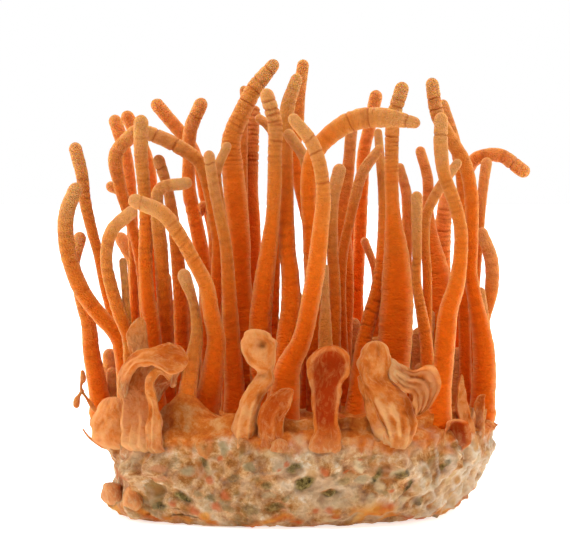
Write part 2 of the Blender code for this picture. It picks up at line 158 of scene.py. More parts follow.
def roll_skin(name, places, values, material, slot, *nodes):
    """A closed skin: a flat grid bent to an array of places (mm) and welded along its seam and ends.

    places is rows x columns x 3. values maps attribute names to arrays of the same rows and columns.
    nodes are the CAD nodes that the skin takes the place of.
    """
    rows, columns = places.shape[:2]
    bm = bmesh.new()
    bmesh.ops.create_grid(bm, x_segments=columns - 1, y_segments=rows - 1, size=0.5)
    mesh = bpy.data.meshes.new(name)
    bm.to_mesh(mesh)
    flat = np.zeros(len(mesh.vertices) * 3, np.float32)
    mesh.vertices.foreach_get("co", flat)
    flat = flat.reshape(-1, 3)
    column = np.rint((flat[:, 0] + 0.5) * (columns - 1)).astype(int)
    row = np.rint((flat[:, 1] + 0.5) * (rows - 1)).astype(int)
    mesh.vertices.foreach_set("co", (places[row, column] * MM).astype(np.float32).ravel())
    for key, value in values.items():
        kind, field = ("FLOAT_VECTOR", "vector") if value.ndim == 3 else ("FLOAT", "value")
        layer = mesh.attributes.new(key, kind, "POINT")
        layer.data.foreach_set(field, value[row, column].astype(np.float32).ravel())
    bm.clear()
    bm.from_mesh(mesh)
    bmesh.ops.remove_doubles(bm, verts=bm.verts, dist=SEAM_WELD)
    bmesh.ops.recalc_face_normals(bm, faces=bm.faces)
    bm.to_mesh(mesh)
    bm.free()
    mesh.shade_smooth()
    mesh.materials.append(material)
    piece = in_scene(name, mesh)
    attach(piece, "root")
    if nodes:
        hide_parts(*nodes)


def new_material(name, **sockets):
    """A material, its node tree and its shader, with the given values on the shader's own sockets."""
    made = bpy.data.materials.new(name)
    made.use_nodes = True
    shader = made.node_tree.nodes["Principled BSDF"]
    for key, value in sockets.items():
        shader.inputs[key.replace("_", " ")].default_value = value
    return made, made.node_tree, shader


def coated(tree, under, *coats):
    """A colour with coats of other colours over it, each as (share, colour)."""
    for share, over in coats:
        under = add(tree, "Mix", {0: share, 6: under, 7: over}, data_type="RGBA").outputs[2]
    return under


def dress(tree, shader, tint, height, depth):
    """Links a colour to a shader, and a height as bump that is depth metres deep."""
    bump = add(tree, "Bump", {"Strength": 1.0, "Distance": depth, "Height": height})
    tree.links.new(tint, shader.inputs["Base Color"])
    tree.links.new(bump.outputs["Normal"], shader.inputs["Normal"])


# Fresh cordyceps flesh is soft, damp within and dusty outside: light soaks in and glows through the
# thin parts. Its edges, where the surface turns away from the view, are painted pale peach as a rim
# highlight for the velvety sheen of the dust. The colour deepens from the head to the foot.
# Its patterns follow the skin in mm: blotches 3.6 mm across, freckles 1.1 mm and powder grains 0.4 mm.
club_flesh, tree, shader = new_material(
    "cordyceps_flesh_powdery", Roughness=0.72, IOR=1.38, Specular_IOR_Level=0.05,
    Subsurface_Weight=0.4, Subsurface_Radius=(1.0, 0.38, 0.06), Subsurface_Scale=0.0016,
)
skin_place = add(tree, "Attribute", attribute_name="skin").outputs["Vector"]
growth_and_painted_light = add(tree, "SeparateXYZ", {0: add(tree, "Attribute", attribute_name="growth_and_painted_light").outputs["Vector"]})
# The growth attribute's last part is the share of painted backlit glow.
from_tip, rear = growth_and_painted_light.outputs[1], growth_and_painted_light.outputs[2]
blotch = add(tree, "TexNoise", {"Vector": skin_place, "Scale": 0.28, "Detail": 3.0, "Roughness": 0.6})
drift = add(tree, "Math", {0: blotch.outputs["Fac"], 1: 16.0, 2: -8.0}, operation="MULTIPLY_ADD")
reach = add(tree, "Math", {0: from_tip, 1: drift.outputs[0]}, operation="ADD")
paling = add(tree, "MapRange", {"Value": reach.outputs[0], "From Min": 2.0, "From Max": 44.0})
length_shade = add(tree, "ValToRGB", {"Fac": paling.outputs["Result"]}, stops=[
    (0.0, colour("DC9A5A")), (1.0, colour("EC680E")), (0.28, colour("DC863A")), (0.62, colour("EA761E")),
])
# Painted backlight: a clearer, brighter orange for the clubs at the back, standing in for the light that
# glows through them from behind.
backlit_glow_shade = add(tree, "ValToRGB", {"Fac": paling.outputs["Result"]}, stops=[
    (0.0, colour("EE9450")), (1.0, colour("F46808")), (0.45, colour("F47824")),
])
shade = coated(tree, length_shade.outputs["Color"], (rear, backlit_glow_shade.outputs["Color"]))
grain = add(tree, "TexVoronoi", {"Vector": skin_place, "Scale": 2.6, "Randomness": 1.0})
freckle = add(tree, "TexNoise", {"Vector": skin_place, "Scale": 0.9, "Detail": 6.0, "Roughness": 0.75})
freckle_range = add(tree, "MapRange", {
    "Value": freckle.outputs["Fac"], "From Min": 0.36, "From Max": 0.64, "To Min": 0.88, "To Max": 1.06,
})
speckled = add(tree, "Mix", {
    0: 1.0, 6: shade, 7: freckle_range.outputs["Result"],
}, data_type="RGBA", blend_type="MULTIPLY")
# Painted shade: a dark orange laid into the ring cracks and wrinkles, where shade falls in the grooves.
crease_shade_depth = add(tree, "Attribute", attribute_name="crease_shade").outputs["Fac"]
# Painted rim highlight: pale peach mixed in where the surface turns edge-on to the view.
painted_rim_light = add(tree, "MapRange", {
    "Value": add(tree, "LayerWeight", {"Blend": 0.5}).outputs["Facing"],
    "From Min": 0.14, "From Max": 0.85, "To Max": 0.75,
})
club_colour_with_painted_light = coated(
    tree, speckled.outputs[2], (painted_rim_light.outputs["Result"], colour("F6AC6A")), (crease_shade_depth, colour("A83E08")),
)
ring_scale = add(tree, "Mapping", {"Vector": skin_place, "Scale": (0.5, 0.5, 1.3)})
fine_rings = add(tree, "TexNoise", {
    "Vector": ring_scale.outputs["Vector"], "Scale": 1.0, "Detail": 3.0, "Roughness": 0.6,
})
puckers = add(tree, "Mapping", {"Vector": skin_place, "Scale": (0.9, 0.9, 1.3)})
pucker = add(tree, "TexNoise", {
    "Vector": puckers.outputs["Vector"], "Scale": 1.0, "Detail": 5.0, "Roughness": 0.72,
})
grit = add(tree, "Math", {0: grain.outputs["Distance"], 1: -0.4}, operation="MULTIPLY")
rings_and_grit = add(tree, "Math", {0: fine_rings.outputs["Fac"], 1: grit.outputs[0]}, operation="ADD")
relief = add(tree, "Math", {0: rings_and_grit.outputs[0], 1: pucker.outputs["Fac"]}, operation="ADD")
dress(tree, shader, club_colour_with_painted_light, relief.outputs[0], 0.0011)

# Ring cracks: body number, then distances from the tip in mm. A minus sign marks a faint one.
CRACKS = {
    "08": [-5.1, -8.0, -11.4], "10": [3.0, -5.8, 7.7], "11": [2.4], "13": [4.4, -8.0], "14": [3.0],
    "16": [2.7], "18": [2.7, 5.8, 7.8, 10.8, -9.2], "19": [2.8, 4.4], "22": [-3.8], "24": [6.4, 9.5],
    "25": [2.7, 10.6, 14.8, -11.1], "27": [4.0, 5.4, 11.8], "36": [4.3, 6.6], "38": [4.7],
    "40": [4.2, -6.2],
}
# Stretches of close wrinkles: body number, start and end from the tip, mm apart, depth in mm.
WRINKLES = {
    "19": [(4.5, 19.0, 1.15, 0.20)], "20": [(1.0, 17.0, 0.95, 0.22)], "27": [(12.5, 23.0, 0.8, 0.16)],
    "24": [(11.0, 21.0, 1.0, 0.14)], "18": [(12.0, 30.0, 1.0, 0.10)], "02": [(8.0, 30.0, 1.3, 0.08)],
    "38": [(8.0, 34.0, 1.2, 0.08)], "08": [(9.0, 34.0, 1.2, 0.09)], "11": [(9.0, 24.0, 1.1, 0.12)],
    "44": [(6.0, 26.0, 1.1, 0.14)], "32": [(30.0, 52.0, 1.2, 0.14)], "35": [(14.0, 34.0, 1.1, 0.09)],
}


def club(rows, tip, number, seed, backlit_glow_share, sides=BODY_SIDES, root=ROOT_DEPTH):
    """Places and values of one club skin, from its ring rows (mm) and the place of its tip.

    number picks its cracks and wrinkles. Its glow share, from 0 to 1, paints it the clearer, brighter orange
    that stands in for light glowing through it from behind.
    """
    draw = random.Random(seed)
    line, run = smooth_line(rows)
    length = run[-1]
    cap = float(np.linalg.norm(tip - rows[-1, :3])) * TIP_STRETCH
    # A mark is its distance from the tip, its depth (below 0 for a wrinkle) and its width.
    marks = []
    for place in CRACKS.get(number, []):
        depth = DEEP_CRACK if place > 0 else FAINT_CRACK
        marks.append((abs(place), depth, 0.20 + 0.04 * draw.random()))
    usual = [(5.0, 0.8 * length, WRINKLE_GAP, WRINKLE_DEPTH)]
    for start, stop, step, depth in WRINKLES.get(number, usual):
        place = start
        while place < stop:
            ease = min(1.0, (stop - place) / 5.0)
            marks.append((place, -depth * ease * draw.uniform(0.6, 1.2), 0.22 * step))
            place += step * draw.uniform(0.7, 1.3)
    fine = max([HEAD_LENGTH] + [mark[0] + 2.0 for mark in marks if abs(mark[1]) > 0.1])
    fine = min(fine, length * 0.8)
    low = np.arange(-root, length + cap - fine, BODY_ROW)
    high = np.arange(length + cap - fine, length, HEAD_ROW)
    turn = np.linspace(0, math.pi / 2, CAP_ROWS)
    at = np.concatenate([[-root - 0.01], low, high, length + cap * np.sin(turn)])
    centre = read_line(line, run, at)
    inward = -centre[0, :2] / np.linalg.norm(centre[0, :2])
    centre[:, :2] += np.outer(np.clip(-at, 0, None) * ROOT_LEAN, inward)
    radius = centre[:, 3].copy()
    dome = np.clip((at - length) / cap, 0, 1)
    radius *= np.sqrt(1 - dome ** 2)
    above = np.clip(at, 0, None)
    radius *= 1 + FOOT_FLARE * np.exp(-above / FLARE_RUN)
    radius[0] = 0.0
    wide, deep = side_axes(centre[:, :3])
    wide[0], deep[0] = wide[1], deep[1]

    angle = np.linspace(0, 2 * math.pi, sides + 1)
    cos, sin = np.cos(angle), np.sin(angle)
    cos[-1], sin[-1] = cos[0], sin[0]
    tip_run = length + cap - at
    body = np.stack(np.broadcast_arrays(cos[None, :] * 1.6, sin[None, :] * 1.6, at[:, None]), axis=-1)
    swell = 0.07 * ripple(body * [1, 1, 0.45], 2.4, seed)
    swell = swell + 0.07 * ripple(body * [0.7, 0.7, 1.0], 1.1, seed + 7)
    relief = swell * radius[:, None]
    wander = ripple(body * [0.9, 0.9, 0.02], 1.6, seed + 3)
    strength = 0.5 + 0.5 * np.clip(1.2 * ripple(body * [0.8, 0.8, 0.9], 2.2, seed + 5) + 0.8, 0, 1.3)
    # This mask paints shade into the ring cracks and wrinkles; the grooves themselves are in the relief.
    crease_shade = np.zeros(relief.shape)
    for place, depth, width in marks:
        tilt = draw.uniform(-0.22, 0.22) * np.cos(angle - draw.uniform(0, 6.3))
        offset = tip_run[:, None] - place - tilt[None, :] - 0.35 * wander
        if depth > 0:
            groove = -depth * np.exp(-(offset / width) ** 2)
            groove = groove + 0.22 * depth * np.exp(-(offset / (3 * width)) ** 2)
            relief += groove * strength
            crease_shade = np.maximum(crease_shade, np.clip(-groove / 0.3, 0, 1) * np.clip(strength, 0, 1))
        else:
            heading = draw.uniform(0, 2 * math.pi)
            patch = 0.35 + 0.65 * np.clip(0.4 + 0.9 * np.cos(angle - heading), 0, 1)[None, :]
            fold = depth * np.exp(-(offset / width) ** 2) * patch * (0.6 + 0.6 * strength)
            relief += fold
            crease_shade = np.maximum(crease_shade, 0.7 * np.clip(-fold / 0.16, 0, 1))
    relief *= np.clip(radius / radius.max(), 0, 1)[:, None] ** 0.5
    out = radius[:, None] + relief * (radius[:, None] > 0)
    places = (
        centre[:, None, :3]
        + wide[:, None, :] * (out * cos)[..., None]
        + deep[:, None, :] * (out * sin)[..., None]
    )
    foot_run = np.broadcast_to(at[:, None], out.shape)
    head_run = np.broadcast_to(tip_run[:, None], out.shape)
    growth_and_painted_light = np.stack([foot_run, head_run, np.full(out.shape, backlit_glow_share)], axis=-1)
    return places, {"skin": body + seed * 13.7, "growth_and_painted_light": growth_and_painted_light, "crease_shade": crease_shade}


# Painted backlight: the depth (Y) over which the clubs take that clearer, brighter orange.
REAR_FROM, REAR_TO = -8.0, 22.0     # depth (Y) over which the clubs turn to the clearer orange


def backlit_glow_share_at(depth):
    """How much of the painted backlit glow, a clearer orange, a body at a depth (Y) takes."""
    return min(1.0, max(0.0, (depth - REAR_FROM) / (REAR_TO - REAR_FROM)))


feet = []                   # X, Y and radius of everything that stands on the cake
for number in range(1, 49):
    key = "%02d" % number
    cad_name = "stroma_" + key
    cad_rows = ring_rows(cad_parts[cad_name])
    feet.append(cad_rows[0, [0, 1, 3]])
    backlit_glow_share = backlit_glow_share_at(cad_rows[:-2, 1].mean())
    places, values = club(cad_rows[:-2], cad_rows[-1, :3], key, number, backlit_glow_share)
    roll_skin("fruiting_body_" + key, places, values, club_flesh, "stroma_flesh", cad_name)

# The thinnest bodies have no solid of their own: the way up from the foot, (X, Y, Z, radius) in mm.
THIN_BODIES = {
    "49": [(-32.9, 8, 18.3, 1.2), (-33.3, 8, 44.2, 1.0), (-33.5, 8, 54.9, 1.0), (-33.9, 8, 61.4, 1.0),
           (-34.8, 8, 65.3, 1.0), (-36.3, 8, 67.6, 1.1), (-38.0, 8, 68.5, 1.2)],
    "50": [(-9.7, 8, 18.3, 1.2), (-9.9, 8, 65.7, 1.1), (-9.9, 8, 80.7, 1.1), (-9.2, 8, 86.1, 1.1),
           (-9.6, 8, 89.1, 1.0)],
    "51": [(-3.6, 2, 18.8, 1.1), (-2.6, 2, 67.9, 1.0), (-2.6, 2, 75.3, 1.0), (-3.4, 2, 79.6, 1.0),
           (-4.7, 2, 81.9, 1.0), (-6.2, 2, 83.0, 1.0)],
    "52": [(-16.3, 16, 17.7, 1.1), (-16.5, 16, 54.7, 1.0), (-16.7, 16, 60.1, 1.0), (-17.4, 16, 63.8, 1.0),
           (-18.7, 16, 64.3, 1.0), (-19.3, 16, 62.7, 0.9)],
    "53": [(-10.2, 12, 18.0, 1.0), (-9.9, 12, 63.5, 0.9), (-10.1, 12, 69.9, 0.9), (-9.9, 12, 74.3, 0.9),
           (-9.5, 12, 76.8, 0.8)],
    "54": [(-33.3, -20, 19.0, 0.9), (-33.3, -20, 37.2, 0.9), (-33.7, -20, 45.4, 0.8),
           (-34.3, -20, 53.3, 0.8)],
}
# Young bodies crowd the middle and the rear between the tall ones: X, Y, height of the tip, radius.
YOUNG_BODIES = [
    (-25.4, 14, 50, 1.5), (-21.5, 19, 46, 1.6), (-18.2, 12, 52, 1.4), (-15.2, 17, 44, 1.6),
    (-10.6, 15, 50, 1.5), (-7.0, 20, 42, 1.5), (-3.0, 14, 36, 1.7), (-0.5, 19, 38, 1.5), (2.4, 16, 46, 1.5),
    (5.2, 21, 40, 1.4), (7.6, 13, 44, 1.6), (10.5, 17, 42, 1.5), (13.7, 15, 40, 1.6), (17.0, 19, 38, 1.5),
    (20.0, 16, 36, 1.5), (24.0, 19, 40, 1.5), (27.8, 14, 38, 1.6), (30.5, 10, 42, 1.4), (32.4, 17, 36, 1.5),
    (36.0, 8, 34, 1.4), (-29.5, 10, 44, 1.5), (-33.5, 12, 36, 1.5), (-38.0, 4, 30, 1.4),
    (-12.5, 4, 34, 1.6), (-6.0, 6, 32, 1.6), (0.5, 5, 34, 1.7), (9.5, 4, 33, 1.5), (15.8, 6, 32, 1.5),
    (23.0, 5, 33, 1.6), (29.0, 2, 31, 1.4), (-21.0, 4, 35, 1.6), (-27.0, 0, 33, 1.4),
]
# Beaded threads that hang at the left end: how far they reach back into the cake, and their way.
THREADS = {
    "1": (3.0, [(-38.5, -12, 20.0, 0.4), (-40.6, -10.5, 21.8, 0.45), (-41.6, -10, 23.2, 0.5),
          (-42.6, -10, 24.6, 0.28), (-43.5, -10, 26.0, 0.36), (-43.6, -10, 27.2, 0.3),
          (-43.2, -10, 28.4, 0.65), (-43.3, -10, 29.8, 0.45)]),
    "2": (0.2, [(-43.4, -10, 26.0, 0.3), (-44.0, -10, 25.0, 0.3), (-44.5, -10, 24.0, 0.62),
          (-44.6, -10, 23.0, 0.66)]),
    "3": (3.0, [(-39.0, -13, 14.6, 0.4), (-40.7, -14, 15.7, 0.28), (-42.0, -14, 16.8, 0.22),
          (-43.0, -14, 18.2, 0.16)]),
}
THIN_SIDES = 18
YOUNG_FOOT = 18.5           # height at which a young body's foot starts
FIRST_YOUNG = 55            # and the number of the first
THREAD_SEED = 90


def round_tip(rows):
    """The place of a tip that rounds off the last of a body's rows."""
    ahead = rows[-1, :3] - rows[-2, :3]
    return rows[-1, :3] + ahead / np.linalg.norm(ahead) * rows[-1, 3]


draw = random.Random(49)
for index, (x, y, height, radius) in enumerate(YOUNG_BODIES, FIRST_YOUNG):
    lean, sway = draw.uniform(-1.6, 1.6), draw.uniform(-1.2, 1.2)
    THIN_BODIES["%02d" % index] = [
        (x, y, YOUNG_FOOT, radius * 1.25),
        (x + 0.3 * lean, y, YOUNG_FOOT + 0.45 * (height - YOUNG_FOOT), radius),
        (x + lean, y + sway, height - radius, radius * 0.9),
    ]
for key, rows in THIN_BODIES.items():
    rows = np.array(rows, float)
    backlit_glow_share = backlit_glow_share_at(rows[:, 1].mean())
    places, values = club(rows, round_tip(rows), key, int(key), backlit_glow_share, THIN_SIDES)
    roll_skin("fruiting_body_" + key, places, values, club_flesh, "stroma_flesh")
    feet.append(rows[0, [0, 1, 3]])
for key, (root, rows) in THREADS.items():
    rows = np.array(rows, float)
    places, values = club(rows, round_tip(rows), key, THREAD_SEED + int(key), 0.5, THIN_SIDES, root)
    roll_skin("thread_" + key, places, values, club_flesh, "stroma_flesh")
for key in sorted(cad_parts):
    if key.startswith("lobe_"):
        feet.append(ring_rows(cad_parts[key])[0, [0, 1, 3]])

# ---- The grain cake ----
# Cooked grain packed in a jar and bound by white mycelium, which has dried to a tan, webbed felt. A few
# grains have gone olive, orange pimples sit between them, and the skin over the top has turned orange.

CAKE_COLUMNS = 680
CAKE_SEED = 11
WALL_STEP = 0.25            # mm between rows up the wall
WALL_TOP = 18.2             # height (mm) where the wall starts to round into the top
TOP_LEVEL = 20.1            # and that of the top
FOOT_MOUND = 2.2            # how far the cake swells round each foot, in mm
KERNELS = 260
KERNEL_GAP = 3.0            # mm between the middles of two kernels, at the least
STRAY_GRAINS = 26
STRAY_PIMPLES = 30
LOW_WALL_ROWS = 50          # the stray pimples keep to this many rows of the wall, from its foot


def cake_outline(height, turns, levels):
    """The cake's outline (x, y in mm) at a height, eased between the levels that the CAD solid has."""
    heights = np.array([level[0] for level in levels])
    index = int(np.clip(np.searchsorted(heights, height) - 1, 0, len(levels) - 2))
    share = np.clip((height - heights[index]) / (heights[index + 1] - heights[index]), 0, 1)
    loop = levels[index][1] * (1 - share) + levels[index + 1][1] * share
    waves = np.fft.fft(loop) / len(loop)
    orders = np.fft.fftfreq(len(loop), 1 / len(loop))
    return (waves[None, :] * np.exp(1j * orders[None, :] * turns[:, None])).sum(axis=1)


def cake_levels(node):
    """For each level of the CAD cake, its height and the complex outline points in order of turn."""
    bm = bmesh.new()
    bm.from_mesh(node.data)
    bmesh.ops.remove_doubles(bm, verts=bm.verts, dist=WELD)
    groups = {}
    for vert in bm.verts:
        groups.setdefault(round(vert.co.z / MM, 2), []).append(complex(vert.co.x, vert.co.y) / MM)
    bm.free()
    levels = []
    for height in sorted(groups):
        points = np.array(groups[height])
        centre = complex((points.real.max() + points.real.min()) / 2, 0)
        order = np.argsort(np.mod(np.angle(points - centre) + 0.05, 2 * math.pi))
        levels.append((height, points[order]))
    return levels


def grid_normals(places):
    """Outward unit normals of a rolled grid of places."""
    along = np.gradient(places, axis=0)
    around = np.empty_like(places)
    around[:, 1:-1] = places[:, 2:] - places[:, :-2]
    around[:, 0] = around[:, -1] = places[:, 1] - places[:, -2]
    normal = np.cross(around, along)
    size = np.linalg.norm(normal, axis=2)[..., None]
    return normal / np.where(size > 1e-9, size, 1.0)


def blob(places, centre, reach, long_way=None, stretch=1.0):
    """1 at a centre, easing to 0 past a reach (mm); stretched along a direction where one is given."""
    gap = places - np.array(centre)
    spread = (gap * gap).sum(axis=-1)
    if long_way is not None:
        spread = spread - (1 - 1 / stretch ** 2) * (gap @ np.array(long_way)) ** 2
    return np.exp(-np.clip(spread, 0, None) / reach ** 2)


levels = cake_levels(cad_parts["substrate_cake"])
turns = np.linspace(0, 2 * math.pi, CAKE_COLUMNS + 1)
turns[-1] = 0.0
# Profile from the middle of the underside, round the foot, up the wall and in over the top.
UNDER_ROWS, TOP_ROWS = 14, 46
profile = [(share, 0.0) for share in np.linspace(0, 0.93, UNDER_ROWS) ** 0.8]
profile += [(0.965, 0.1), (0.985, 0.5)]
profile += [(1.0, height) for height in np.arange(1.0, WALL_TOP, WALL_STEP)]
profile += [(0.995, 18.6), (0.985, 19.0), (0.97, 19.4), (0.955, 19.7), (0.94, 19.95)]
profile += [(share, TOP_LEVEL) for share in np.linspace(0.925, 0, TOP_ROWS) ** 0.85]
places = np.zeros((len(profile), CAKE_COLUMNS + 1, 3))
for index, (share, height) in enumerate(profile):
    loop = cake_outline(height, turns, levels)
    loop[-1] = loop[0]
    middle = loop[:-1].mean()
    drawn_in = middle + (loop - middle) * share
    places[index, :, 0] = drawn_in.real
    places[index, :, 1] = drawn_in.imag
    places[index, :, 2] = height

draw = random.Random(CAKE_SEED)
normal = grid_normals(places)
row_number = np.arange(len(profile))[:, None] * np.ones(places.shape[1])
blank = np.zeros(places.shape[:2])
top = (row_number >= len(profile) - TOP_ROWS).astype(float)
under = (row_number < UNDER_ROWS).astype(float)
wall = (1 - top) * (1 - under)

# The mycelium web: thin raised strands, drawn out slantwise where it was pulled off the jar's side.
web = np.clip(1 - 5.0 * np.abs(ripple(places, 6.0, 31.0)), 0, 1) ** 1.5
web = np.maximum(web, np.clip(1 - 6.0 * np.abs(ripple(places, 3.6, 34.0)), 0, 1) ** 1.5 * 0.8)
slant = np.stack([places[..., 0] + 0.5 * places[..., 2], places[..., 1], 0.22 * places[..., 2]], axis=-1)
pulled = np.clip(1 - 4.0 * np.abs(ripple(slant, 2.6, 37.0)), 0, 1)
pull_share = np.clip((places[..., 0] - 20.0) / 9.0, 0, 1) * np.clip((18.0 - places[..., 1]) / 20.0, 0, 1)
web = 0.3 * web * (1 - pull_share) + pulled * pull_share

# Buried kernels show as soft swellings, each with a tone of its own.
swell = blank
kernel_share, kernel_tone = blank, blank
wall_rows = [index for index, (share, height) in enumerate(profile) if share > 0.99 and height < 17.0]
ragged = places + 0.5 * np.stack([ripple(places, 1.3, 41.0 + k) for k in range(3)], axis=-1)
centres = []
while len(centres) < KERNELS:
    row, column = draw.choice(wall_rows), draw.randrange(CAKE_COLUMNS)
    centre = places[row, column]
    if all(np.linalg.norm(centre - other) > KERNEL_GAP for other, _ in centres):
        centres.append((centre, normal[row, column]))


def across_wall(out, spin):
    """A unit direction along the wall's face, turned by spin from level."""
    level_way = np.array([-out[1], out[0], 0.0])
    level_way /= np.linalg.norm(level_way)
    return level_way * math.cos(spin) + np.cross(out, level_way) * math.sin(spin)


for centre, out in centres:
    long_way = across_wall(out, draw.uniform(0, math.pi))
    dome = blob(ragged, centre, draw.uniform(0.95, 1.4), long_way, draw.uniform(1.5, 2.1))
    swell = np.maximum(swell, dome * draw.uniform(0.1, 0.7))
    own = np.clip(2.6 * dome - 1.0, 0, 1) * draw.choice([0.0, 0.3, 0.6, 0.9])
    kernel_tone = np.where(own > kernel_share, draw.random(), kernel_tone)
    kernel_share = np.maximum(kernel_share, own)

# Grains that show: X and height on the front wall, half length, half width, slant (degrees), darkness.
GRAINS = [
    (-17.4, 13.3, 1.7, 0.9, -60, 0.6), (-21.9, 5.7, 2.6, 0.9, -20, 0.8), (-26.5, 3.5, 1.9, 1.1, 0, 0.6),
    (3.0, 8.9, 2.4, 1.5, 35, 1.0), (0.8, 12.4, 1.8, 1.1, 20, 0.7), (-4.3, 8.7, 1.3, 0.9, 0, 0.5),
    (8.6, 6.8, 2.0, 0.9, 5, 0.7), (10.6, 9.5, 1.7, 1.0, 10, 0.35), (17.7, 10.3, 2.3, 0.8, 65, 0.7),
    (22.4, 11.2, 1.7, 1.3, 20, 0.6), (-2.9, 4.3, 2.3, 1.0, 5, 0.55), (-8.1, 3.7, 2.2, 1.5, 0, 0.4),
    (24.6, 8.0, 2.4, 0.7, 80, 0.7), (-15.8, 6.0, 1.5, 0.8, -15, 0.5), (-11.4, 10.2, 1.6, 1.2, 20, 0.4),
    (31.5, 12.5, 1.7, 0.7, 70, 0.6), (26.8, 4.4, 1.6, 1.2, 0, 0.5), (-0.6, 5.9, 1.2, 0.7, 30, 0.4),
]
# Orange pimples and raw spots: X, height, radius (mm).
PIMPLES = [
    (-16.2, 9.7, 1.15), (-12.7, 6.7, 1.2), (7.2, 12.4, 1.1), (20.8, 7.5, 0.75), (14.2, 16.0, 0.6),
    (14.2, 14.2, 0.55), (13.9, 17.3, 0.5), (-0.6, 13.4, 0.6), (-2.2, 12.8, 0.45), (-13.9, 14.3, 0.7),
    (11.6, 11.6, 0.5), (-19.4, 3.0, 1.4), (-15.0, 4.6, 1.3), (-17.3, 1.8, 1.2), (-2.5, 1.8, 1.4),
    (-0.4, 2.2, 1.1), (5.2, 3.2, 0.9), (8.2, 3.6, 1.2), (9.6, 2.0, 1.0), (20.7, 3.6, 1.1),
    (24.5, 1.3, 0.9), (33.0, 17.5, 1.0), (35.0, 15.5, 0.8), (-24.0, 4.4, 0.9), (-30.4, 10.6, 0.9),
]
front = places[..., 1] < 5.0


def wall_spot(x, height):
    """The row and column of the front wall's place nearest to an X and a height."""
    miss = (places[..., 0] - x) ** 2 + (places[..., 2] - height) ** 2 + 1e3 * (1 - wall) + 1e3 * ~front
    return np.unravel_index(np.argmin(miss), miss.shape)


spots = [(wall_spot(x, height), *rest) for x, height, *rest in GRAINS]
for _ in range(STRAY_GRAINS):
    spot = (draw.choice(wall_rows), draw.randrange(CAKE_COLUMNS // 2))
    spots.append((spot, draw.uniform(1.3, 2.3), draw.uniform(0.8, 1.2), draw.uniform(-80, 80), 0.6))
olive, pit = blank, blank
for (row, column), half_long, half_wide, slope, dark in spots:
    long_way = across_wall(normal[row, column], math.radians(slope))
    near = blob(ragged, places[row, column], half_wide, long_way, half_long / half_wide)
    olive = np.maximum(olive, np.clip(2.6 * near - 0.75, 0, 1) * dark)
    pit = np.maximum(pit, np.clip(1.6 * near * (1 - near) * 2, 0, 1) * dark)
    swell = np.maximum(swell * (1 - near), near ** 1.5 * 0.35)

raw_spot = blank
spots = [(wall_spot(x, height), radius) for x, height, radius in PIMPLES]
for _ in range(STRAY_PIMPLES):
    spot = (draw.choice(wall_rows[:LOW_WALL_ROWS]), draw.randrange(CAKE_COLUMNS // 2))
    spots.append((spot, draw.uniform(0.5, 1.2)))
for (row, column), radius in spots:
    near = blob(ragged, places[row, column], radius)
    raw_spot = np.maximum(raw_spot, np.clip(2.2 * near - 0.6, 0, 1))
    swell = np.maximum(swell, near ** 0.7 * 0.5)

# The skin swells round every foot, so that the bodies grow out of it without a joint.
mound = blank
for x, y, radius in feet:
    mound = np.maximum(mound, blob(places, (x, y, 19.6), radius + 2.2))
# Thicker folds of the same skin rise between the lobes: X, Y, reach, height.
FOLDS = [
    (-19.5, -29, 5.0, 3.6), (-24.0, -30, 4.0, 2.4), (30.5, -27, 4.5, 2.0), (14.5, -36, 3.5, 2.0),
    (2.0, -37, 3.5, 1.4), (-37.5, -19, 5.0, 1.6), (-13.5, -36, 3.0, 1.8), (35.0, -20, 3.5, 1.6),
    (-2.0, 34, 5.0, 2.2), (-26.0, 26, 4.5, 2.0), (31.0, 24, 4.5, 2.4), (12.0, 33, 4.0, 1.6),
]
folds = sum(height * blob(places, (x, y, 19.8), reach) for x, y, reach, height in FOLDS)
# Under each lobe the felt climbs a little way up its foot: X and height on the wall, reach, height.
APRONS = [
    (7.5, 12.6, 2.9, 3.2), (22.0, 13.0, 3.2, 3.0), (-9.2, 12.6, 3.0, 2.6), (-3.3, 12.4, 2.8, 2.6),
    (-30.5, 11.6, 4.0, 4.8), (-26.5, 12.0, 3.2, 4.6), (-36.6, 12.6, 3.4, 1.6), (33.5, 13.4, 3.2, 3.0),
    (37.5, 14.0, 3.0, 2.2), (-33.0, 14.0, 2.6, 2.4), (14.5, 16.0, 3.0, 1.2), (-17.0, 15.5, 4.0, 1.2),
    (-36.8, 3.0, 2.2, 1.4), (-32.1, 2.6, 2.0, 1.4),
]
apron = blank
for x, height, reach, rise in APRONS:
    apron = np.maximum(apron, rise * blob(ragged, places[wall_spot(x, height)], reach))
lumps = 0.9 * ripple(places, 9.0, 1.0) + 0.6 * ripple(places, 4.2, 2.0)
knots = 0.30 * ripple(places, 1.9, 3.0) + 0.20 * ripple(places, 0.9, 4.0)
heave = lumps + 1.3 * knots + 1.1 * swell + 0.5 * web - 0.9 * pit - 0.75
heave += 0.5 * ripple(places, 14.0, 5.0)
# The cake flares low down at its right end and is drawn in at its left end.
right_end = np.clip((places[..., 0] - 27) / 8, 0, 1)
flare = 1.0 * np.clip((9 - places[..., 2]) / 3, 0, 1) - 0.9 * np.clip((places[..., 2] - 12) / 4, 0, 1)
heave += right_end * flare
left_end = np.clip((-29 - places[..., 0]) / 7, 0, 1)
heave -= 1.6 * left_end * np.exp(-((places[..., 2] - 11) / 5) ** 2)
skin_top = 0.9 * ripple(places, 7.0, 8.0) + 0.5 * ripple(places, 2.5, 9.0)
skin_top = skin_top + 0.3 * ripple(places, 1.3, 12.0)
heave = (heave + apron * (1 + 0.5 * ripple(places, 2.2, 27.0))) * wall + skin_top * top
heave = heave + 0.3 * ripple(places, 3.0, 6.0) * under
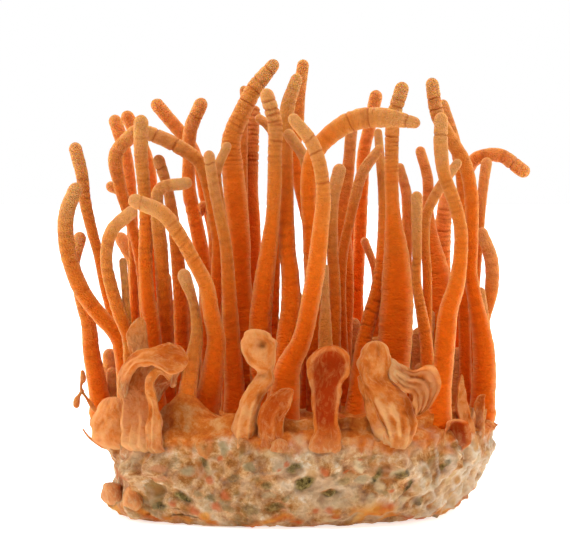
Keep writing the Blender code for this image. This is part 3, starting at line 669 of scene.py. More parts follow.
# It swells round the feet, and a small ledge of flesh sticks out right of the middle, low down.
heave += FOOT_MOUND * mound * (1 - under) * (1 - 0.45 * wall) + folds * (top + 0.15 * wall)
ledge = blob(places, (17.3, -34.0, 2.9), 3.0, (0.9, 0.42, 0.0), 1.7) * wall
heave += 1.3 * ledge
moved = places + normal * heave[..., None]

# The foot is uneven: it stands on its lowest lumps and lifts between them.
lift = 0.7 * ripple(places * [1, 1, 0], 5.0, 51.0) + 0.5 * ripple(places * [1, 1, 0], 2.2, 52.0)
lift = np.clip(lift, 0, None) + 1.9 * blob(places * [1, 1, 0], (13.6, -35.0, 0.0), 1.7)
lift += 1.3 * blob(places * [1, 1, 0], (17.5, -33.5, 0.0), 3.2)
edge_share = np.clip((np.hypot(places[..., 0], places[..., 1]) - 27.0) / 5.0, 0, 1)
moved[..., 2] += lift * np.clip(1 - places[..., 2] / 4.5, 0, 1) * edge_share
moved[..., 2] = np.where(top > 0, moved[..., 2], np.maximum(moved[..., 2], 0.0))
moved[0] = moved[0].mean(axis=0)
moved[-1] = moved[-1].mean(axis=0)
moved[:, -1] = moved[:, 0]

# Felted mycelium is dry and matt, with a crumb as coarse as bread. Its colour goes from cream, where it
# is thick, to rust, where it is thin, and the skin that covers its top is the clubs' orange. Its
# patterns lie in metres, so a scale of 240 is lumps of 4 mm, 120 of 8 mm, 480 of 2 mm and 900 of 1 mm.
cake_skin, tree, shader = new_material(
    "grain_bound_by_mycelium", Roughness=0.68, IOR=1.42, Specular_IOR_Level=0.16,
    Subsurface_Weight=0.08, Subsurface_Radius=(1.0, 0.55, 0.3), Subsurface_Scale=0.0008,
)
where = add(tree, "TexCoord").outputs["Object"]
wear = add(tree, "SeparateXYZ", {0: add(tree, "Attribute", attribute_name="wear").outputs["Vector"]})
olive_share, raw_share, skin_share = wear.outputs
# The felt attribute holds the strands, the painted shade of the hollows, and the amber foot.
felt_and_shade = add(tree, "SeparateXYZ", {0: add(tree, "Attribute", attribute_name="felt_and_shade").outputs["Vector"]})
web_share, crumb_shade_share, foot_share = felt_and_shade.outputs
cloud = add(tree, "TexNoise", {"Vector": where, "Scale": 240.0, "Detail": 10.0, "Roughness": 0.75})
tan = add(tree, "ValToRGB", {"Fac": cloud.outputs["Fac"]}, stops=[
    (0.36, colour("7E4418")), (0.66, colour("F4E4C8")), (0.45, colour("B8783A")), (0.54, colour("DCAC74")),
])
stain = add(tree, "TexNoise", {
    "Vector": where, "Scale": 120.0, "Detail": 6.0, "Roughness": 0.65, "Distortion": 0.8,
})
greyed = add(tree, "MapRange", {
    "Value": stain.outputs["Fac"], "From Min": 0.36, "From Max": 0.46, "To Min": 1.0, "To Max": 0.0,
})
flushed = add(tree, "MapRange", {"Value": stain.outputs["Fac"], "From Min": 0.56, "From Max": 0.68})
# Where the mycelium is thick it lies over the grain as a smooth cream film; elsewhere it has rusted.
film = add(tree, "TexNoise", {
    "Vector": where, "Scale": 75.0, "Detail": 4.0, "Roughness": 0.6, "Distortion": 0.5,
})
film_share = add(tree, "MapRange", {
    "Value": film.outputs["Fac"], "From Min": 0.50, "From Max": 0.62, "To Max": 0.62,
})
rust_share = add(tree, "MapRange", {
    "Value": film.outputs["Fac"], "From Min": 0.44, "From Max": 0.34, "To Max": 0.75,
})
webbed_share = add(tree, "Math", {0: web_share, 1: 0.6}, operation="MULTIPLY")
# A buried kernel tints the felt over it by a tone of its own, and an olive grain is speckled.
kernel = add(tree, "SeparateXYZ", {0: add(tree, "Attribute", attribute_name="kernel").outputs["Vector"]})
husk = add(tree, "ValToRGB", {"Fac": kernel.outputs[1]}, stops=[
    (0.0, colour("E8CFA4")), (1.0, colour("7E6C3C")), (0.3, colour("C8904C")), (0.55, colour("CC7440")),
    (0.8, colour("D8BC94")),
])
speck = add(tree, "TexNoise", {"Vector": where, "Scale": 900.0, "Detail": 4.0, "Roughness": 0.7})
grain_shade = add(tree, "ValToRGB", {"Fac": speck.outputs["Fac"]}, stops=[
    (0.36, colour("2A2414")), (0.70, colour("B09A5C")), (0.45, colour("5E4E26")), (0.56, colour("8A7640")),
])
amber = add(tree, "TexNoise", {"Vector": where, "Scale": 170.0, "Detail": 4.0, "Roughness": 0.6})
amber_shade = add(tree, "ValToRGB", {"Fac": amber.outputs["Fac"]}, stops=[
    (0.35, colour("CF5A1C")), (0.68, colour("E3B066")), (0.52, colour("DA8A34")),
])
skin_stain = add(tree, "TexNoise", {"Vector": where, "Scale": 260.0, "Detail": 8.0, "Roughness": 0.72})
skin_tone = add(tree, "ValToRGB", {"Fac": skin_stain.outputs["Fac"]}, stops=[
    (0.38, colour("C65810")), (0.64, colour("E8A462")), (0.50, colour("DA7624")),
])
# The coats from the lowest up: grey and rosy stains, film and rust, strands, painted shade in the
# hollows, kernels, raw spots, olive grains, amber flesh and the orange skin.
felt_and_shade_colour = coated(
    tree, tan.outputs["Color"],
    (greyed.outputs["Result"], colour("A07C46")), (flushed.outputs["Result"], colour("CE7A3E")),
    (film_share.outputs["Result"], colour("E6C8A2")), (rust_share.outputs["Result"], colour("B4662A")),
    (webbed_share.outputs[0], colour("EADCC6")), (crumb_shade_share, colour("8A4E1E")),
    (kernel.outputs[0], husk.outputs["Color"]), (raw_share, colour("C8602E")),
    (olive_share, grain_shade.outputs["Color"]), (foot_share, amber_shade.outputs["Color"]),
    (skin_share, skin_tone.outputs["Color"]),
)
crumb = add(tree, "TexNoise", {"Vector": where, "Scale": 480.0, "Detail": 8.0, "Roughness": 0.7})
dress(tree, shader, felt_and_shade_colour, crumb.outputs["Fac"], 0.0018)

# Where each of those shows: the skin drapes over the rim and up the feet, the low places between the
# lumps are darkened as painted shade, and amber flesh shows along the foot and on the ledge.
drape = moved[..., 2] - 15.4 + 3.6 * ripple(places, 5.0, 21.0) + 1.8 * ripple(places, 1.6, 22.0)
skinned = np.clip(np.maximum(drape / 3.6, 1.5 * mound - 0.3), 0, 1) * (1 - under)
# Painted shade: the low places between knots, kernels and strands, and the rings round the grains.
painted_crumb_shade = np.clip(-1.5 * (knots + 0.9 * swell + 0.38 * web - 0.18) + 0.5 * pit, 0, 1) * 0.75
footing = np.clip((3.0 - moved[..., 2] + 2.4 * ripple(places, 3.0, 23.0)) / 0.8, 0, 1)
footing = footing * np.clip(3.0 * ripple(places, 4.0, 25.0) + 0.3, 0, 1)
footing = np.maximum(footing, np.clip(1.6 * ledge - 0.3, 0, 1)) * wall
wear_values = np.stack([np.clip(1.3 * olive, 0, 1), 0.8 * raw_spot, skinned], axis=-1)
felt_and_shade_values = np.stack([web, painted_crumb_shade, footing], axis=-1)
kernel_values = np.stack([kernel_share, kernel_tone, blank], axis=-1)
cake_values = {"wear": wear_values, "felt_and_shade": felt_and_shade_values, "kernel": kernel_values}
roll_skin("grain_cake", moved, cake_values, cake_skin, "grain_cake", "substrate_cake")

# ---- The lobes at the rim ----
# Where the bunch is crowded or dries at the edge, the flesh grows as folded sheets instead of clubs:
# a spoon, an ear, a hood, a knob. Each is rubbery, thick at its rim, and runs down into the cake's wall.

LOBE_SIDES = 60
LOBE_ROW = 0.32             # mm between rings
LOBE_CAP_ROWS = 10
LOBE_TOE = 2.4              # mm over which the foot of a lobe rounds off
RIDGE_SHARPNESS = 0.12      # how wide a ridge is, as a share of half the sheet
LOBE_ROOT_TOP = 16.5        # below this height (mm) a lobe leans back into the cake
LOBE_ROOT_LEAN = 0.02       # by this share of its distance from the middle, a mm down, and more below
FIRST_LOBE_SEED = 60


def sheet(rows, cap, seed, striae, hollow_shade_depth, tone, root_top, ridges=(), dimples=()):
    """Places and values of a lobe from rows of its two edges.

    A row is one edge (X, Y, Z), the other edge (X, Y, Z), then half the sheet's thickness, how far its
    edges stand forward of its middle, and how much thicker its rim is. cap is the length of its end.
    Below root_top it leans back into the cake. A ridge is its place across (-1 to 1), its height, and
    where it starts and stops along the sheet. A dimple is its place, its reach and its depth.
    """
    rows = np.array(rows, float)
    middle = (rows[:, :3] + rows[:, 3:6]) / 2
    line, run = smooth_line(np.column_stack([middle, rows]), 10)
    length = run[-1]
    turn = np.linspace(0, math.pi / 2, LOBE_CAP_ROWS)
    at = np.concatenate([[-0.02], np.arange(0, length, LOBE_ROW), length + cap * np.sin(turn)])
    station = read_line(line, run, at)
    push = station[:, :3] - read_line(line, run, np.minimum(at, length))[:, :3]
    first, second = station[:, 3:6] + push, station[:, 6:9] + push
    thick, cup, rim = station[:, 9], station[:, 10], station[:, 11]
    dome = np.clip((at - length) / cap, 0, 1)
    shut = np.sqrt(1 - dome ** 2)
    shut *= np.sqrt(1 - np.clip(1 - at / LOBE_TOE, 0, 1) ** 2)
    shut[0] = 0.0
    centre = (first + second) / 2
    across = second - first
    half = np.linalg.norm(across, axis=1) / 2
    across /= 2 * half[:, None]
    back = np.array([0.0, 1.0, 0.0]) - across * across[:, 1:2]
    back /= np.linalg.norm(back, axis=1)[:, None]

    angle = np.linspace(0, 2 * math.pi, LOBE_SIDES + 1)
    cos, sin = np.cos(angle), np.sin(angle)
    cos[-1], sin[-1] = cos[0], sin[0]
    edge = 1 - (1 - dome[:, None] ** 2) * sin[None, :] ** 2
    body = np.stack(np.broadcast_arrays(
        cos[None, :] * half[:, None], sin[None, :] * thick[:, None] * 1.5, at[:, None]), axis=-1)
    drawn = np.clip(0.4 + 1.4 * ripple(body, 5.0, seed + 2), 0, 1)
    groove = striae * drawn * ripple(body * [1.0, 1.0, 0.14], 1.0, seed)
    groove += 0.42 * ripple(body, 3.4, seed + 4) + 0.22 * ripple(body, 1.5, seed + 6)
    for place, height, start, stop in ridges:
        along = np.clip(np.minimum(at - start, stop - at) / 1.5, 0, 1)[:, None]
        front = np.clip(-sin, 0, 1)[None, :] ** 0.5
        groove += height * along * front * np.exp(-((cos[None, :] - place) / RIDGE_SHARPNESS) ** 2)
    groove *= shut[:, None]
    u = cos[None, :] * (half * shut)[:, None] + groove * cos[None, :]
    v = sin[None, :] * (thick * shut)[:, None] * (1 + rim[:, None] * edge ** 2) + groove * sin[None, :]
    v -= cup[:, None] * (edge ** 1.6 - 0.35)
    places = centre[:, None] + across[:, None] * u[..., None] + back[:, None] * v[..., None]
    sunk = LOBE_ROOT_LEAN * np.clip(root_top - places[..., 2], 0, None) ** 1.3
    places[..., :2] *= 1 - sunk[..., None]
    # Painted shade: the grooves are marked to be darkened, and so is the knob's dimple below.
    crease_shade = np.clip(-groove / 0.4 - 0.2, 0, 1) * 0.6
    for centre, reach, depth in dimples:
        near = blob(places, centre, reach)
        crease_shade = np.maximum(crease_shade, near ** 2 * (depth > 0))
        places[..., 1] += depth * near
    places[0] = places[0].mean(axis=0)
    # Painted shade: the concave side of a cupped sheet, away from its rim, is marked to be darkened as its
    # hollow.
    hollow_shade = np.clip((0.62 - edge) / 0.16, 0, 1) * np.clip(-3 * sin, 0, 1)[None, :]
    hollow_shade = hollow_shade * hollow_shade_depth * np.clip(cup / 1.2, 0, 1)[:, None]
    foot_run = np.broadcast_to(at[:, None], u.shape)
    growth_and_painted_light = np.stack([foot_run, (length + cap) - foot_run, hollow_shade], axis=-1)
    # Painted light on the relief: ridges are made paler as a highlight and grooves darker as shade, over the
    # sheet's own tone.
    tone_with_relief_shade = tone + 0.55 * groove
    return places, {"skin": body + seed * 9.1, "growth_and_painted_light": growth_and_painted_light, "crease_shade": crease_shade, "tone": tone_with_relief_shade}


# The same flesh in folded sheets, which dry sooner: pale and dusty outside with fine streaks along
# the growth. The concave sides of cupped sheets are painted a deep red-brown as the shade in their
# hollows. Its patterns follow the skin in mm too.
lobe_flesh, tree, shader = new_material(
    "cordyceps_flesh_folded", Roughness=0.66, IOR=1.38, Specular_IOR_Level=0.06,
    Subsurface_Weight=0.25, Subsurface_Radius=(1.0, 0.38, 0.08), Subsurface_Scale=0.0012,
)
skin_place = add(tree, "Attribute", attribute_name="skin").outputs["Vector"]
growth_and_painted_light = add(tree, "SeparateXYZ", {0: add(tree, "Attribute", attribute_name="growth_and_painted_light").outputs["Vector"]})
from_foot, hollow_shade = growth_and_painted_light.outputs[0], growth_and_painted_light.outputs[2]
blotch = add(tree, "TexNoise", {"Vector": skin_place, "Scale": 0.42, "Detail": 5.0, "Roughness": 0.68})
drift = add(tree, "Math", {0: blotch.outputs["Fac"], 1: 0.9, 2: -0.45}, operation="MULTIPLY_ADD")
# The tone attribute holds the sheet's own tone with the painted relief highlight and shade.
tone_with_relief_node = add(tree, "Attribute", attribute_name="tone").outputs["Fac"]
paled = add(tree, "Math", {0: tone_with_relief_node, 1: drift.outputs[0]}, operation="ADD")
outer = add(tree, "ValToRGB", {"Fac": paled.outputs[0]}, stops=[
    (0.0, colour("AE3A08")), (1.0, colour("F0AC6C")), (0.35, colour("C85810")), (0.65, colour("DC7A30")),
])
streak_place = add(tree, "Mapping", {"Vector": skin_place, "Scale": (0.8, 0.8, 0.42)})
streak = add(tree, "TexNoise", {
    "Vector": streak_place.outputs["Vector"], "Scale": 0.9, "Detail": 6.0, "Roughness": 0.72,
    "Distortion": 0.8,
})
bloom = add(tree, "MapRange", {
    "Value": streak.outputs["Fac"], "From Min": 0.48, "From Max": 0.66, "To Max": 0.65,
})
# Painted shade in the grooves and in the knob's dimple.
crease_shade_depth = add(tree, "Attribute", attribute_name="crease_shade").outputs["Fac"]
# Painted rim highlight on the sheets' edges, as on the clubs.
painted_rim_light = add(tree, "MapRange", {
    "Value": add(tree, "LayerWeight", {"Blend": 0.5}).outputs["Facing"],
    "From Min": 0.25, "From Max": 0.9, "To Max": 0.8,
})
# The foot of a lobe takes on the felt of the cake.
felting = add(tree, "MapRange", {
    "Value": from_foot, "From Min": 1.5, "From Max": 7.5, "To Min": 1.0, "To Max": 0.0,
})
patchy = add(tree, "Math", {0: bloom.outputs["Result"], 1: 1.1, 2: 0.35}, operation="MULTIPLY_ADD")
patchy_share = add(tree, "Math", {0: patchy.outputs[0], 1: felting.outputs["Result"]}, operation="MULTIPLY",
                   use_clamp=True)
# Painted shade for the hollows: a deep red-brown, with the dust streaks over it.
hollow_shade_colour = coated(tree, colour("B03A08"), (bloom.outputs["Result"], colour("CE7A40")))
lobe_colour_with_painted_light = coated(
    tree, outer.outputs["Color"],
    (bloom.outputs["Result"], colour("E2A064")), (hollow_shade, hollow_shade_colour),
    (painted_rim_light.outputs["Result"], colour("F4A868")), (patchy_share.outputs[0], colour("DCAE7A")),
    (crease_shade_depth, colour("9C4A12")),
)
pores = add(tree, "TexNoise", {"Vector": skin_place, "Scale": 1.0, "Detail": 7.0, "Roughness": 0.7})
dress(tree, shader, lobe_colour_with_painted_light, pores.outputs["Fac"], 0.0014)

# Ridges along a sheet's face: how far across (-1 to 1), height, and from where to where along it.
RIDGES = {
    "ear_flap": [(-0.5, 0.6, 4.0, 17.0), (-0.05, 0.9, 2.0, 16.0), (0.4, 0.6, 3.0, 15.0)],
    "ear_stalk": [(-0.45, 0.9, 4.0, 15.0), (0.05, 0.8, 5.0, 14.0), (0.5, 0.8, 2.0, 11.0)],
    "hook": [(0.25, 0.5, 3.0, 14.0), (-0.3, 0.3, 2.0, 9.0)],
    "hood": [(-0.72, 0.7, 4.0, 24.0), (-0.3, 0.5, 2.0, 10.0), (0.15, 0.6, 1.0, 12.0)],
    "knob": [(0.3, 0.5, 2.0, 15.0), (-0.4, 0.4, 3.0, 13.0)],
    "hood_tongue": [(0.0, 0.5, 2.0, 14.0)],
    "back_ear": [(-0.5, 0.5, 1.0, 12.0), (0.1, 0.6, 1.0, 12.0)],
    "left_shoulder": [(-0.2, 0.3, 2.0, 12.0), (0.4, 0.35, 1.0, 12.0)],
}
# The knob's dimple, and the swelling beside it.
DIMPLES = {"knob": [((-5.25, -42.0, 37.5), 1.3, 2.2), ((-3.4, -41.5, 35.4), 1.5, -0.8)]}
# Each sheet: its CAD node, the depth of its grooves, how much painted shade its hollow takes, its tone
# from deep (0) to pale (1), the length of its end, and its rows. Only the largest sheet of a lobe has a
# solid.
LOBES = {
    "spoon": ("lobe_spoon", 0.05, 1.00, 0.50, 4.2, [
        (5.6, -39, 12.7, 9.4, -39, 12.7, 1.2, 0, 0), (4.4, -40, 15.2, 10.2, -40, 14.8, 1.3, 0, 0.2),
        (4, -40.3, 17.4, 10.4, -40.3, 17.4, 1.2, 0.2, 0.3), (5, -40, 19.8, 10.3, -40, 19.6, 1, 0.5, 0.5),
        (4.9, -39.6, 21.8, 9.6, -39.6, 22, 0.8, 1.2, 1), (4.6, -39.3, 24.4, 9.9, -39.3, 24.4, 0.7, 1.9, 1.4),
        (4.3, -39, 27.2, 10.2, -39, 27.2, 0.65, 2.1, 1.5),
        (4.1, -38.8, 29.8, 10.6, -38.8, 29.4, 0.65, 2.1, 1.6),
        (3.7, -38.6, 31.6, 11.9, -38.6, 31.2, 0.7, 2.4, 1.8),
        (3.6, -38.5, 33.2, 12.4, -38.5, 33, 0.75, 2.6, 1.8),
    ]),
    "ear_stalk": ("lobe_ear", 0.22, 0.00, 0.62, 2.6, [
        (20, -34.5, 13.1, 24.1, -34.5, 13.1, 2, 0, 0), (19.6, -35.8, 15.8, 24.2, -35.8, 16.2, 2.2, 0, 0),
        (19.1, -36.4, 17.9, 25, -36.4, 18.3, 2.2, 0.2, 0.2),
        (18.3, -36.8, 20, 25.6, -36.8, 20, 2.2, 0.3, 0.3),
        (17.4, -37.1, 22.4, 25.7, -37.1, 22, 2.1, 0.5, 0.3),
        (15.9, -37.4, 25.1, 24.6, -37.4, 25.7, 2.1, 0.6, 0.3),
        (15.1, -37.6, 27.7, 22.5, -37.6, 28.1, 2.1, 0.5, 0.2),
        (14.3, -37.7, 30.5, 20.3, -37.7, 30.7, 2.2, 0.2, 0.1),
        (13.8, -37.5, 33.3, 20.7, -37.5, 33.3, 2.3, 0, 0), (14.3, -37.3, 35.3, 20.2, -37.3, 35.5, 2.2, 0, 0),
    ]),
    "ear_flap": (None, 0.06, 0.35, 0.68, 0.6, [
        (19.5, -37, 35.7, 19.5, -37.8, 31.3, 1, 0, 0), (21.1, -37.8, 34, 20.5, -38.6, 30.2, 0.9, 0.5, 0.5),
        (23.1, -38.4, 33.1, 21.6, -39.2, 29, 0.75, 1.2, 1),
        (25.3, -38.8, 32.4, 22.8, -39.6, 28, 0.65, 1.9, 1.4), (27.5, -39, 33, 24, -39.8, 27.2, 0.6, 2.4, 1.6),
        (29.3, -39, 32.2, 24.5, -39.8, 26.4, 0.6, 2.6, 1.6),
        (30.4, -38.8, 30, 24.6, -39.6, 25.6, 0.6, 2.6, 1.6),
        (30, -38.6, 28, 24.9, -39.4, 24.8, 0.6, 2.2, 1.5), (28.7, -38.4, 25.3, 25.1, -39, 24, 0.6, 1.6, 1.3),
        (27.3, -38.2, 23.7, 25.3, -38.6, 23.3, 0.5, 0.8, 1),
    ]),
    "ear_seam": (None, 0.08, 0.00, 0.62, 0.4, [
        (20.5, -36.8, 15.5, 22.1, -37.9, 16.6, 0.6, 0.2, 0.6),
        (18.5, -37, 17.5, 20.3, -38.6, 18.7, 0.6, 0.3, 0.6),
        (16.8, -37.2, 20.6, 18.6, -38.9, 21.7, 0.6, 0.3, 0.6),
        (15.5, -37.2, 24, 17, -39, 25.2, 0.6, 0.3, 0.6),
        (14.5, -37.2, 27.5, 15.6, -38.6, 28.2, 0.5, 0.2, 0.5),
        (13.9, -37.2, 30.5, 14.4, -37.8, 30.7, 0.5, 0.1, 0.3),
    ]),
    "hood": ("lobe_hood", 0.14, 0.50, 0.82, 0.8, [
        (-33.4, -27, 12.1, -26.7, -32, 12.6, 1.2, 0, 0), (-33.8, -28, 14.1, -26.2, -33.3, 14.2, 1.4, 0, 0),
        (-34.1, -29, 16.4, -26, -34, 16.5, 1.5, 0.3, 0.3),
        (-33.9, -29.5, 19.3, -26, -34.2, 19.7, 1.4, 0.8, 0.6),
        (-33.7, -29.8, 22.4, -26.2, -34.2, 22.8, 1.2, 1.2, 0.9),
        (-33.8, -30, 25.5, -26.6, -34, 25.4, 1, 1.6, 1.2),
        (-34.2, -30.2, 28, -27.2, -33.4, 27.8, 0.9, 2, 1.4),
        (-34, -30.4, 30.4, -27.4, -32.8, 30.2, 0.8, 2.2, 1.4),
        (-33.2, -30.6, 32.5, -27, -32.4, 32.2, 0.8, 2, 1.4),
        (-31.7, -31, 33.9, -26.2, -32.4, 33.4, 0.8, 1.4, 1.2),
    ]),
    "hood_lip": (None, 0.06, 0.00, 0.50, 0.6, [
        (-34.2, -29.8, 25.1, -33, -31.4, 25.6, 0.8, 0.2, 0.3),
        (-34.5, -30.2, 29, -32.6, -32.6, 29.4, 0.9, 0.4, 0.4),
        (-33.9, -30.8, 31.7, -31.9, -34, 31.3, 0.9, 0.5, 0.5),
        (-32.5, -31.5, 33.8, -30.7, -35, 32.7, 0.9, 0.6, 0.6),
        (-30.5, -32.2, 35.1, -29.2, -35.8, 33, 0.9, 0.8, 0.7),
        (-27.8, -33, 35.6, -27.7, -36.4, 32.9, 0.9, 1, 0.8),
        (-25.8, -33.6, 36.5, -26.1, -36.8, 32.3, 0.9, 1.2, 0.9),
        (-23.9, -34, 37.1, -24.6, -37, 31.4, 0.9, 1.2, 0.9),
        (-21.9, -34.3, 36.2, -23, -37, 31.3, 0.9, 1, 0.8),
        (-20.7, -34.5, 34.4, -21.8, -36.8, 31.9, 0.8, 0.6, 0.5),
    ]),
    "hood_tongue": (None, 0.10, 0.00, 0.68, 0.4, [
        (-29.1, -32.5, 12.7, -26, -34, 12.8, 1.2, 0, 0), (-29, -34, 15.7, -25.6, -35.4, 15.8, 1.2, 0.2, 0.3),
        (-28.6, -34.6, 20.2, -25.7, -36, 20.3, 1, 0.6, 0.6),
        (-28.3, -35, 24.7, -26.1, -36, 24.1, 0.8, 0.6, 0.6),
        (-28.8, -35.2, 27.5, -26.7, -36, 27, 0.8, 0.4, 0.4),
        (-28.9, -35.4, 29.8, -27.2, -36, 29, 0.8, 0.3, 0.3),
        (-28.1, -35.8, 31.6, -26.7, -36.2, 30.4, 0.7, 0.3, 0.3),
        (-26.5, -36, 32.8, -26, -36.4, 31.2, 0.7, 0.3, 0.3),
        (-25, -36.2, 32.5, -25.2, -36.4, 30.8, 0.65, 0.3, 0.3),
        (-23.7, -36.2, 31.4, -24.5, -36.2, 30, 0.6, 0.2, 0.2),
    ]),
    "hood_tooth": (None, 0.02, 0.00, 0.45, 0.8, [
        (-24.5, -34.2, 32.7, -21.3, -34.2, 32.7, 0.8, 0, 0),
        (-24.3, -34.4, 30.7, -22.3, -34.4, 30.9, 0.7, 0, 0), (-24, -34.4, 29.1, -23, -34.4, 29.1, 0.6, 0, 0),
    ]),
    "back_ear": ("lobe_back_ear", 0.10, 0.00, 0.75, 0.6, [
        (-31.4, -21, 24.8, -28.5, -21, 24.8, 0.9, 0, 0), (-31.9, -23, 29.1, -28.6, -23, 29.1, 0.9, 0, 0),
        (-32.8, -24, 34.1, -28.8, -24, 33.7, 0.8, 0.3, 0.2),
        (-33.2, -24.4, 36.8, -29, -24.4, 36.4, 0.8, 0.4, 0.3),
        (-33.3, -24.6, 38.7, -29.2, -24.6, 38.7, 0.8, 0.5, 0.4),
        (-32.5, -24.8, 40.3, -29.4, -24.8, 40.5, 0.7, 0.4, 0.4),
        (-31.5, -24.8, 41.5, -29.8, -24.8, 41.6, 0.6, 0.2, 0.3),
    ]),
    "knob": ("lobe_knob", 0.05, 0.00, 0.70, 1.6, [
        (-11.3, -37, 12.7, -7.1, -37, 12.7, 2, 0, 0), (-11.8, -38, 16, -6.7, -38, 16.4, 2.3, 0, 0),
        (-11.7, -38.2, 18.9, -6.6, -38.2, 19.3, 2.3, 0, 0),
        (-11.4, -38.2, 21.1, -6.5, -38.2, 21.7, 2.3, 0, 0),
        (-10.7, -38.2, 23.7, -6.2, -38.2, 23.9, 2.2, 0, 0), (-9.7, -38.2, 26.5, -5.5, -38.2, 25.9, 2.1, 0, 0),
        (-8.5, -38.1, 28.7, -4.1, -38.1, 28.1, 2.1, 0, 0), (-7.2, -38, 30.5, -2.9, -38, 30.1, 2, 0, 0),
        (-6.5, -38, 31.9, -3.1, -38, 31.9, 1.7, 0, 0), (-8.3, -38, 33.5, -2.9, -38, 33.3, 2.8, 0, 0),
        (-9.4, -38, 35.6, -2.7, -38, 35.4, 3.2, 0, 0), (-9.7, -38, 37.6, -2.3, -38, 37.6, 3.3, 0, 0),
        (-9.2, -38, 39, -3.5, -38, 38.8, 3, 0, 0),
    ]),
    "hook": ("lobe_hook", 0.12, 0.60, 0.40, 0.8, [
        (-5.3, -37.6, 12.7, -1.3, -37.6, 12.7, 1.4, 0, 0), (-5.9, -38.8, 15.7, -0.8, -38.8, 15.7, 1.6, 0, 0),
        (-6.2, -39.2, 17.7, -0.8, -39.2, 17.3, 1.7, 0.2, 0.2),
        (-6.4, -39.4, 20.2, -1.3, -39.4, 19.8, 1.6, 0.5, 0.3),
        (-6.4, -39.4, 22.6, -1.1, -39.4, 22.4, 1.4, 0.8, 0.5),
        (-5.5, -39.3, 25.2, 0, -39.3, 24.4, 1.2, 0.9, 0.7), (-3.9, -39.2, 27, 0.5, -39.2, 26.2, 0.9, 1, 0.9),
        (-2.3, -39.1, 28.1, 0.7, -39.1, 27.9, 0.7, 0.8, 1),
    ]),
    "hook_bud": (None, 0.03, 0.00, 0.40, 1.4, [
        (-3.7, -39, 13.3, -0.6, -39, 12.9, 1.4, 0, 0), (-3.9, -40.2, 15.6, -0.2, -40.2, 15.4, 1.6, 0, 0),
        (-3.6, -40.4, 17.2, -0.4, -40.4, 17.2, 1.6, 0, 0),
    ]),
    "right_fold": ("lobe_right_fold", 0.12, 0.00, 0.70, 1.2, [
        (35.6, -22.5, 12.1, 38.9, -19.5, 12.5, 0.8, 0, 0),
        (35.3, -24, 15.2, 38.6, -21.5, 15.4, 0.8, 0.2, 0.3),
        (35.1, -24.4, 17.3, 38.1, -22, 17.5, 0.8, 0.4, 0.5),
        (34.9, -24.4, 19.3, 37.7, -22.4, 19.8, 0.7, 0.6, 0.8),
        (34.6, -24.2, 22, 37, -22.8, 22.3, 0.6, 0.5, 0.8), (34.3, -24, 24.6, 36.4, -23, 25, 0.6, 0.4, 0.8),
        (34.5, -23.8, 27.1, 36.1, -23.2, 27.5, 0.6, 0.3, 0.7),
        (34.9, -23.6, 29.1, 35.9, -23.4, 29.1, 0.5, 0.2, 0.5),
    ]),
    "right_cup": (None, 0.06, 1.00, 0.45, 1.4, [
        (31.5, -28, 12.2, 36.1, -25.5, 12, 1.2, 0, 0), (30.8, -29.3, 15.2, 36.6, -26.8, 15, 1.1, 1, 0.6),
        (30.7, -29.8, 17.3, 36.6, -27.4, 17.1, 0.9, 2.2, 1.1),
        (31, -30, 19.2, 36.4, -27.6, 19, 0.8, 2.8, 1.2), (31.6, -30, 20.4, 35.8, -27.6, 20.2, 0.7, 2.8, 1.3),
    ]),
    "right_sprout": ("lobe_right_sprout", 0.05, 0.50, 0.50, 0.6, [
        (39.1, -16.5, 16.2, 40.7, -16.5, 16.2, 0.9, 0, 0),
        (38.8, -17.2, 19.3, 40.6, -17.2, 19.5, 0.8, 0.1, 0.2),
        (38.5, -17.6, 21.7, 40.4, -17.6, 22.1, 0.7, 0.4, 0.7),
        (38.4, -17.8, 23.8, 40.5, -17.8, 24.2, 0.6, 0.6, 1.1),
        (39, -17.9, 25.1, 40.6, -17.9, 25.4, 0.5, 0.5, 1.2),
    ]),
    "left_shoulder": (None, 0.30, 0.00, 0.68, 2.5, [
        (-38.8, -11, 11, -35.1, -18, 11.3, 2, 0, 0), (-39.8, -12, 13.7, -34.5, -20.5, 13.6, 2.6, 0, 0),
        (-39.7, -17, 17, -34.1, -25.5, 17.4, 3, 0, 0), (-40, -19, 20.5, -33.9, -27, 20.8, 3.1, 0, 0),
        (-39, -18, 22.9, -34.9, -25, 23.7, 2.2, 0, 0),
    ]),
    "nub_left": (None, 0.04, 0.00, 0.42, 0.8, [
        (-38.5, -13, 2.2, -35, -20, 2.6, 1.2, 0, 0), (-39, -13.5, 4.4, -34.7, -21, 4.5, 1.5, 0, 0),
        (-38.7, -12.5, 6.4, -35.2, -20, 6.7, 1.3, 0, 0),
    ]),
    "nub_front": (None, 0.06, 0.00, 0.60, 1.0, [
        (-33.5, -22, 1.7, -30.8, -26, 1.8, 1.2, 0, 0), (-33.8, -23, 4.3, -30.4, -27.6, 4.2, 1.5, 0, 0),
        (-33.5, -22, 6.5, -31, -26.6, 6.6, 1.2, 0, 0),
    ]),
    "hood_back": (None, 0.10, 0.00, 0.30, 3.3, [
        (-31.7, -27, 23.6, -28, -29, 23.4, 0.8, 0, 0), (-32.3, -27.5, 26.3, -26.3, -29, 25.8, 0.8, 0, 0),
        (-32.5, -27.5, 29, -24.3, -29, 28.3, 0.8, 0.3, 0.2),
        (-31.9, -27.5, 31.5, -22.3, -28.8, 30.7, 0.7, 0.4, 0.3),
        (-30.5, -27.5, 33.9, -21.7, -28.6, 33, 0.7, 0.4, 0.3),
    ]),
    "rear_left": ("lobe_rear_left", 0.10, 0.6, 0.6, 2.4, [
        (-17.4, 35.5, 13, -11.6, 37, 13, 1.5, 0, 0), (-17.2, 35, 19, -11, 36, 19, 1.5, -0.4, 0.2),
        (-17.8, 35, 25, -11.8, 35.8, 25, 1.1, -1.2, 0.8), (-19.5, 35.4, 30, -12.9, 36, 30, 0.9, -1.8, 1.2),
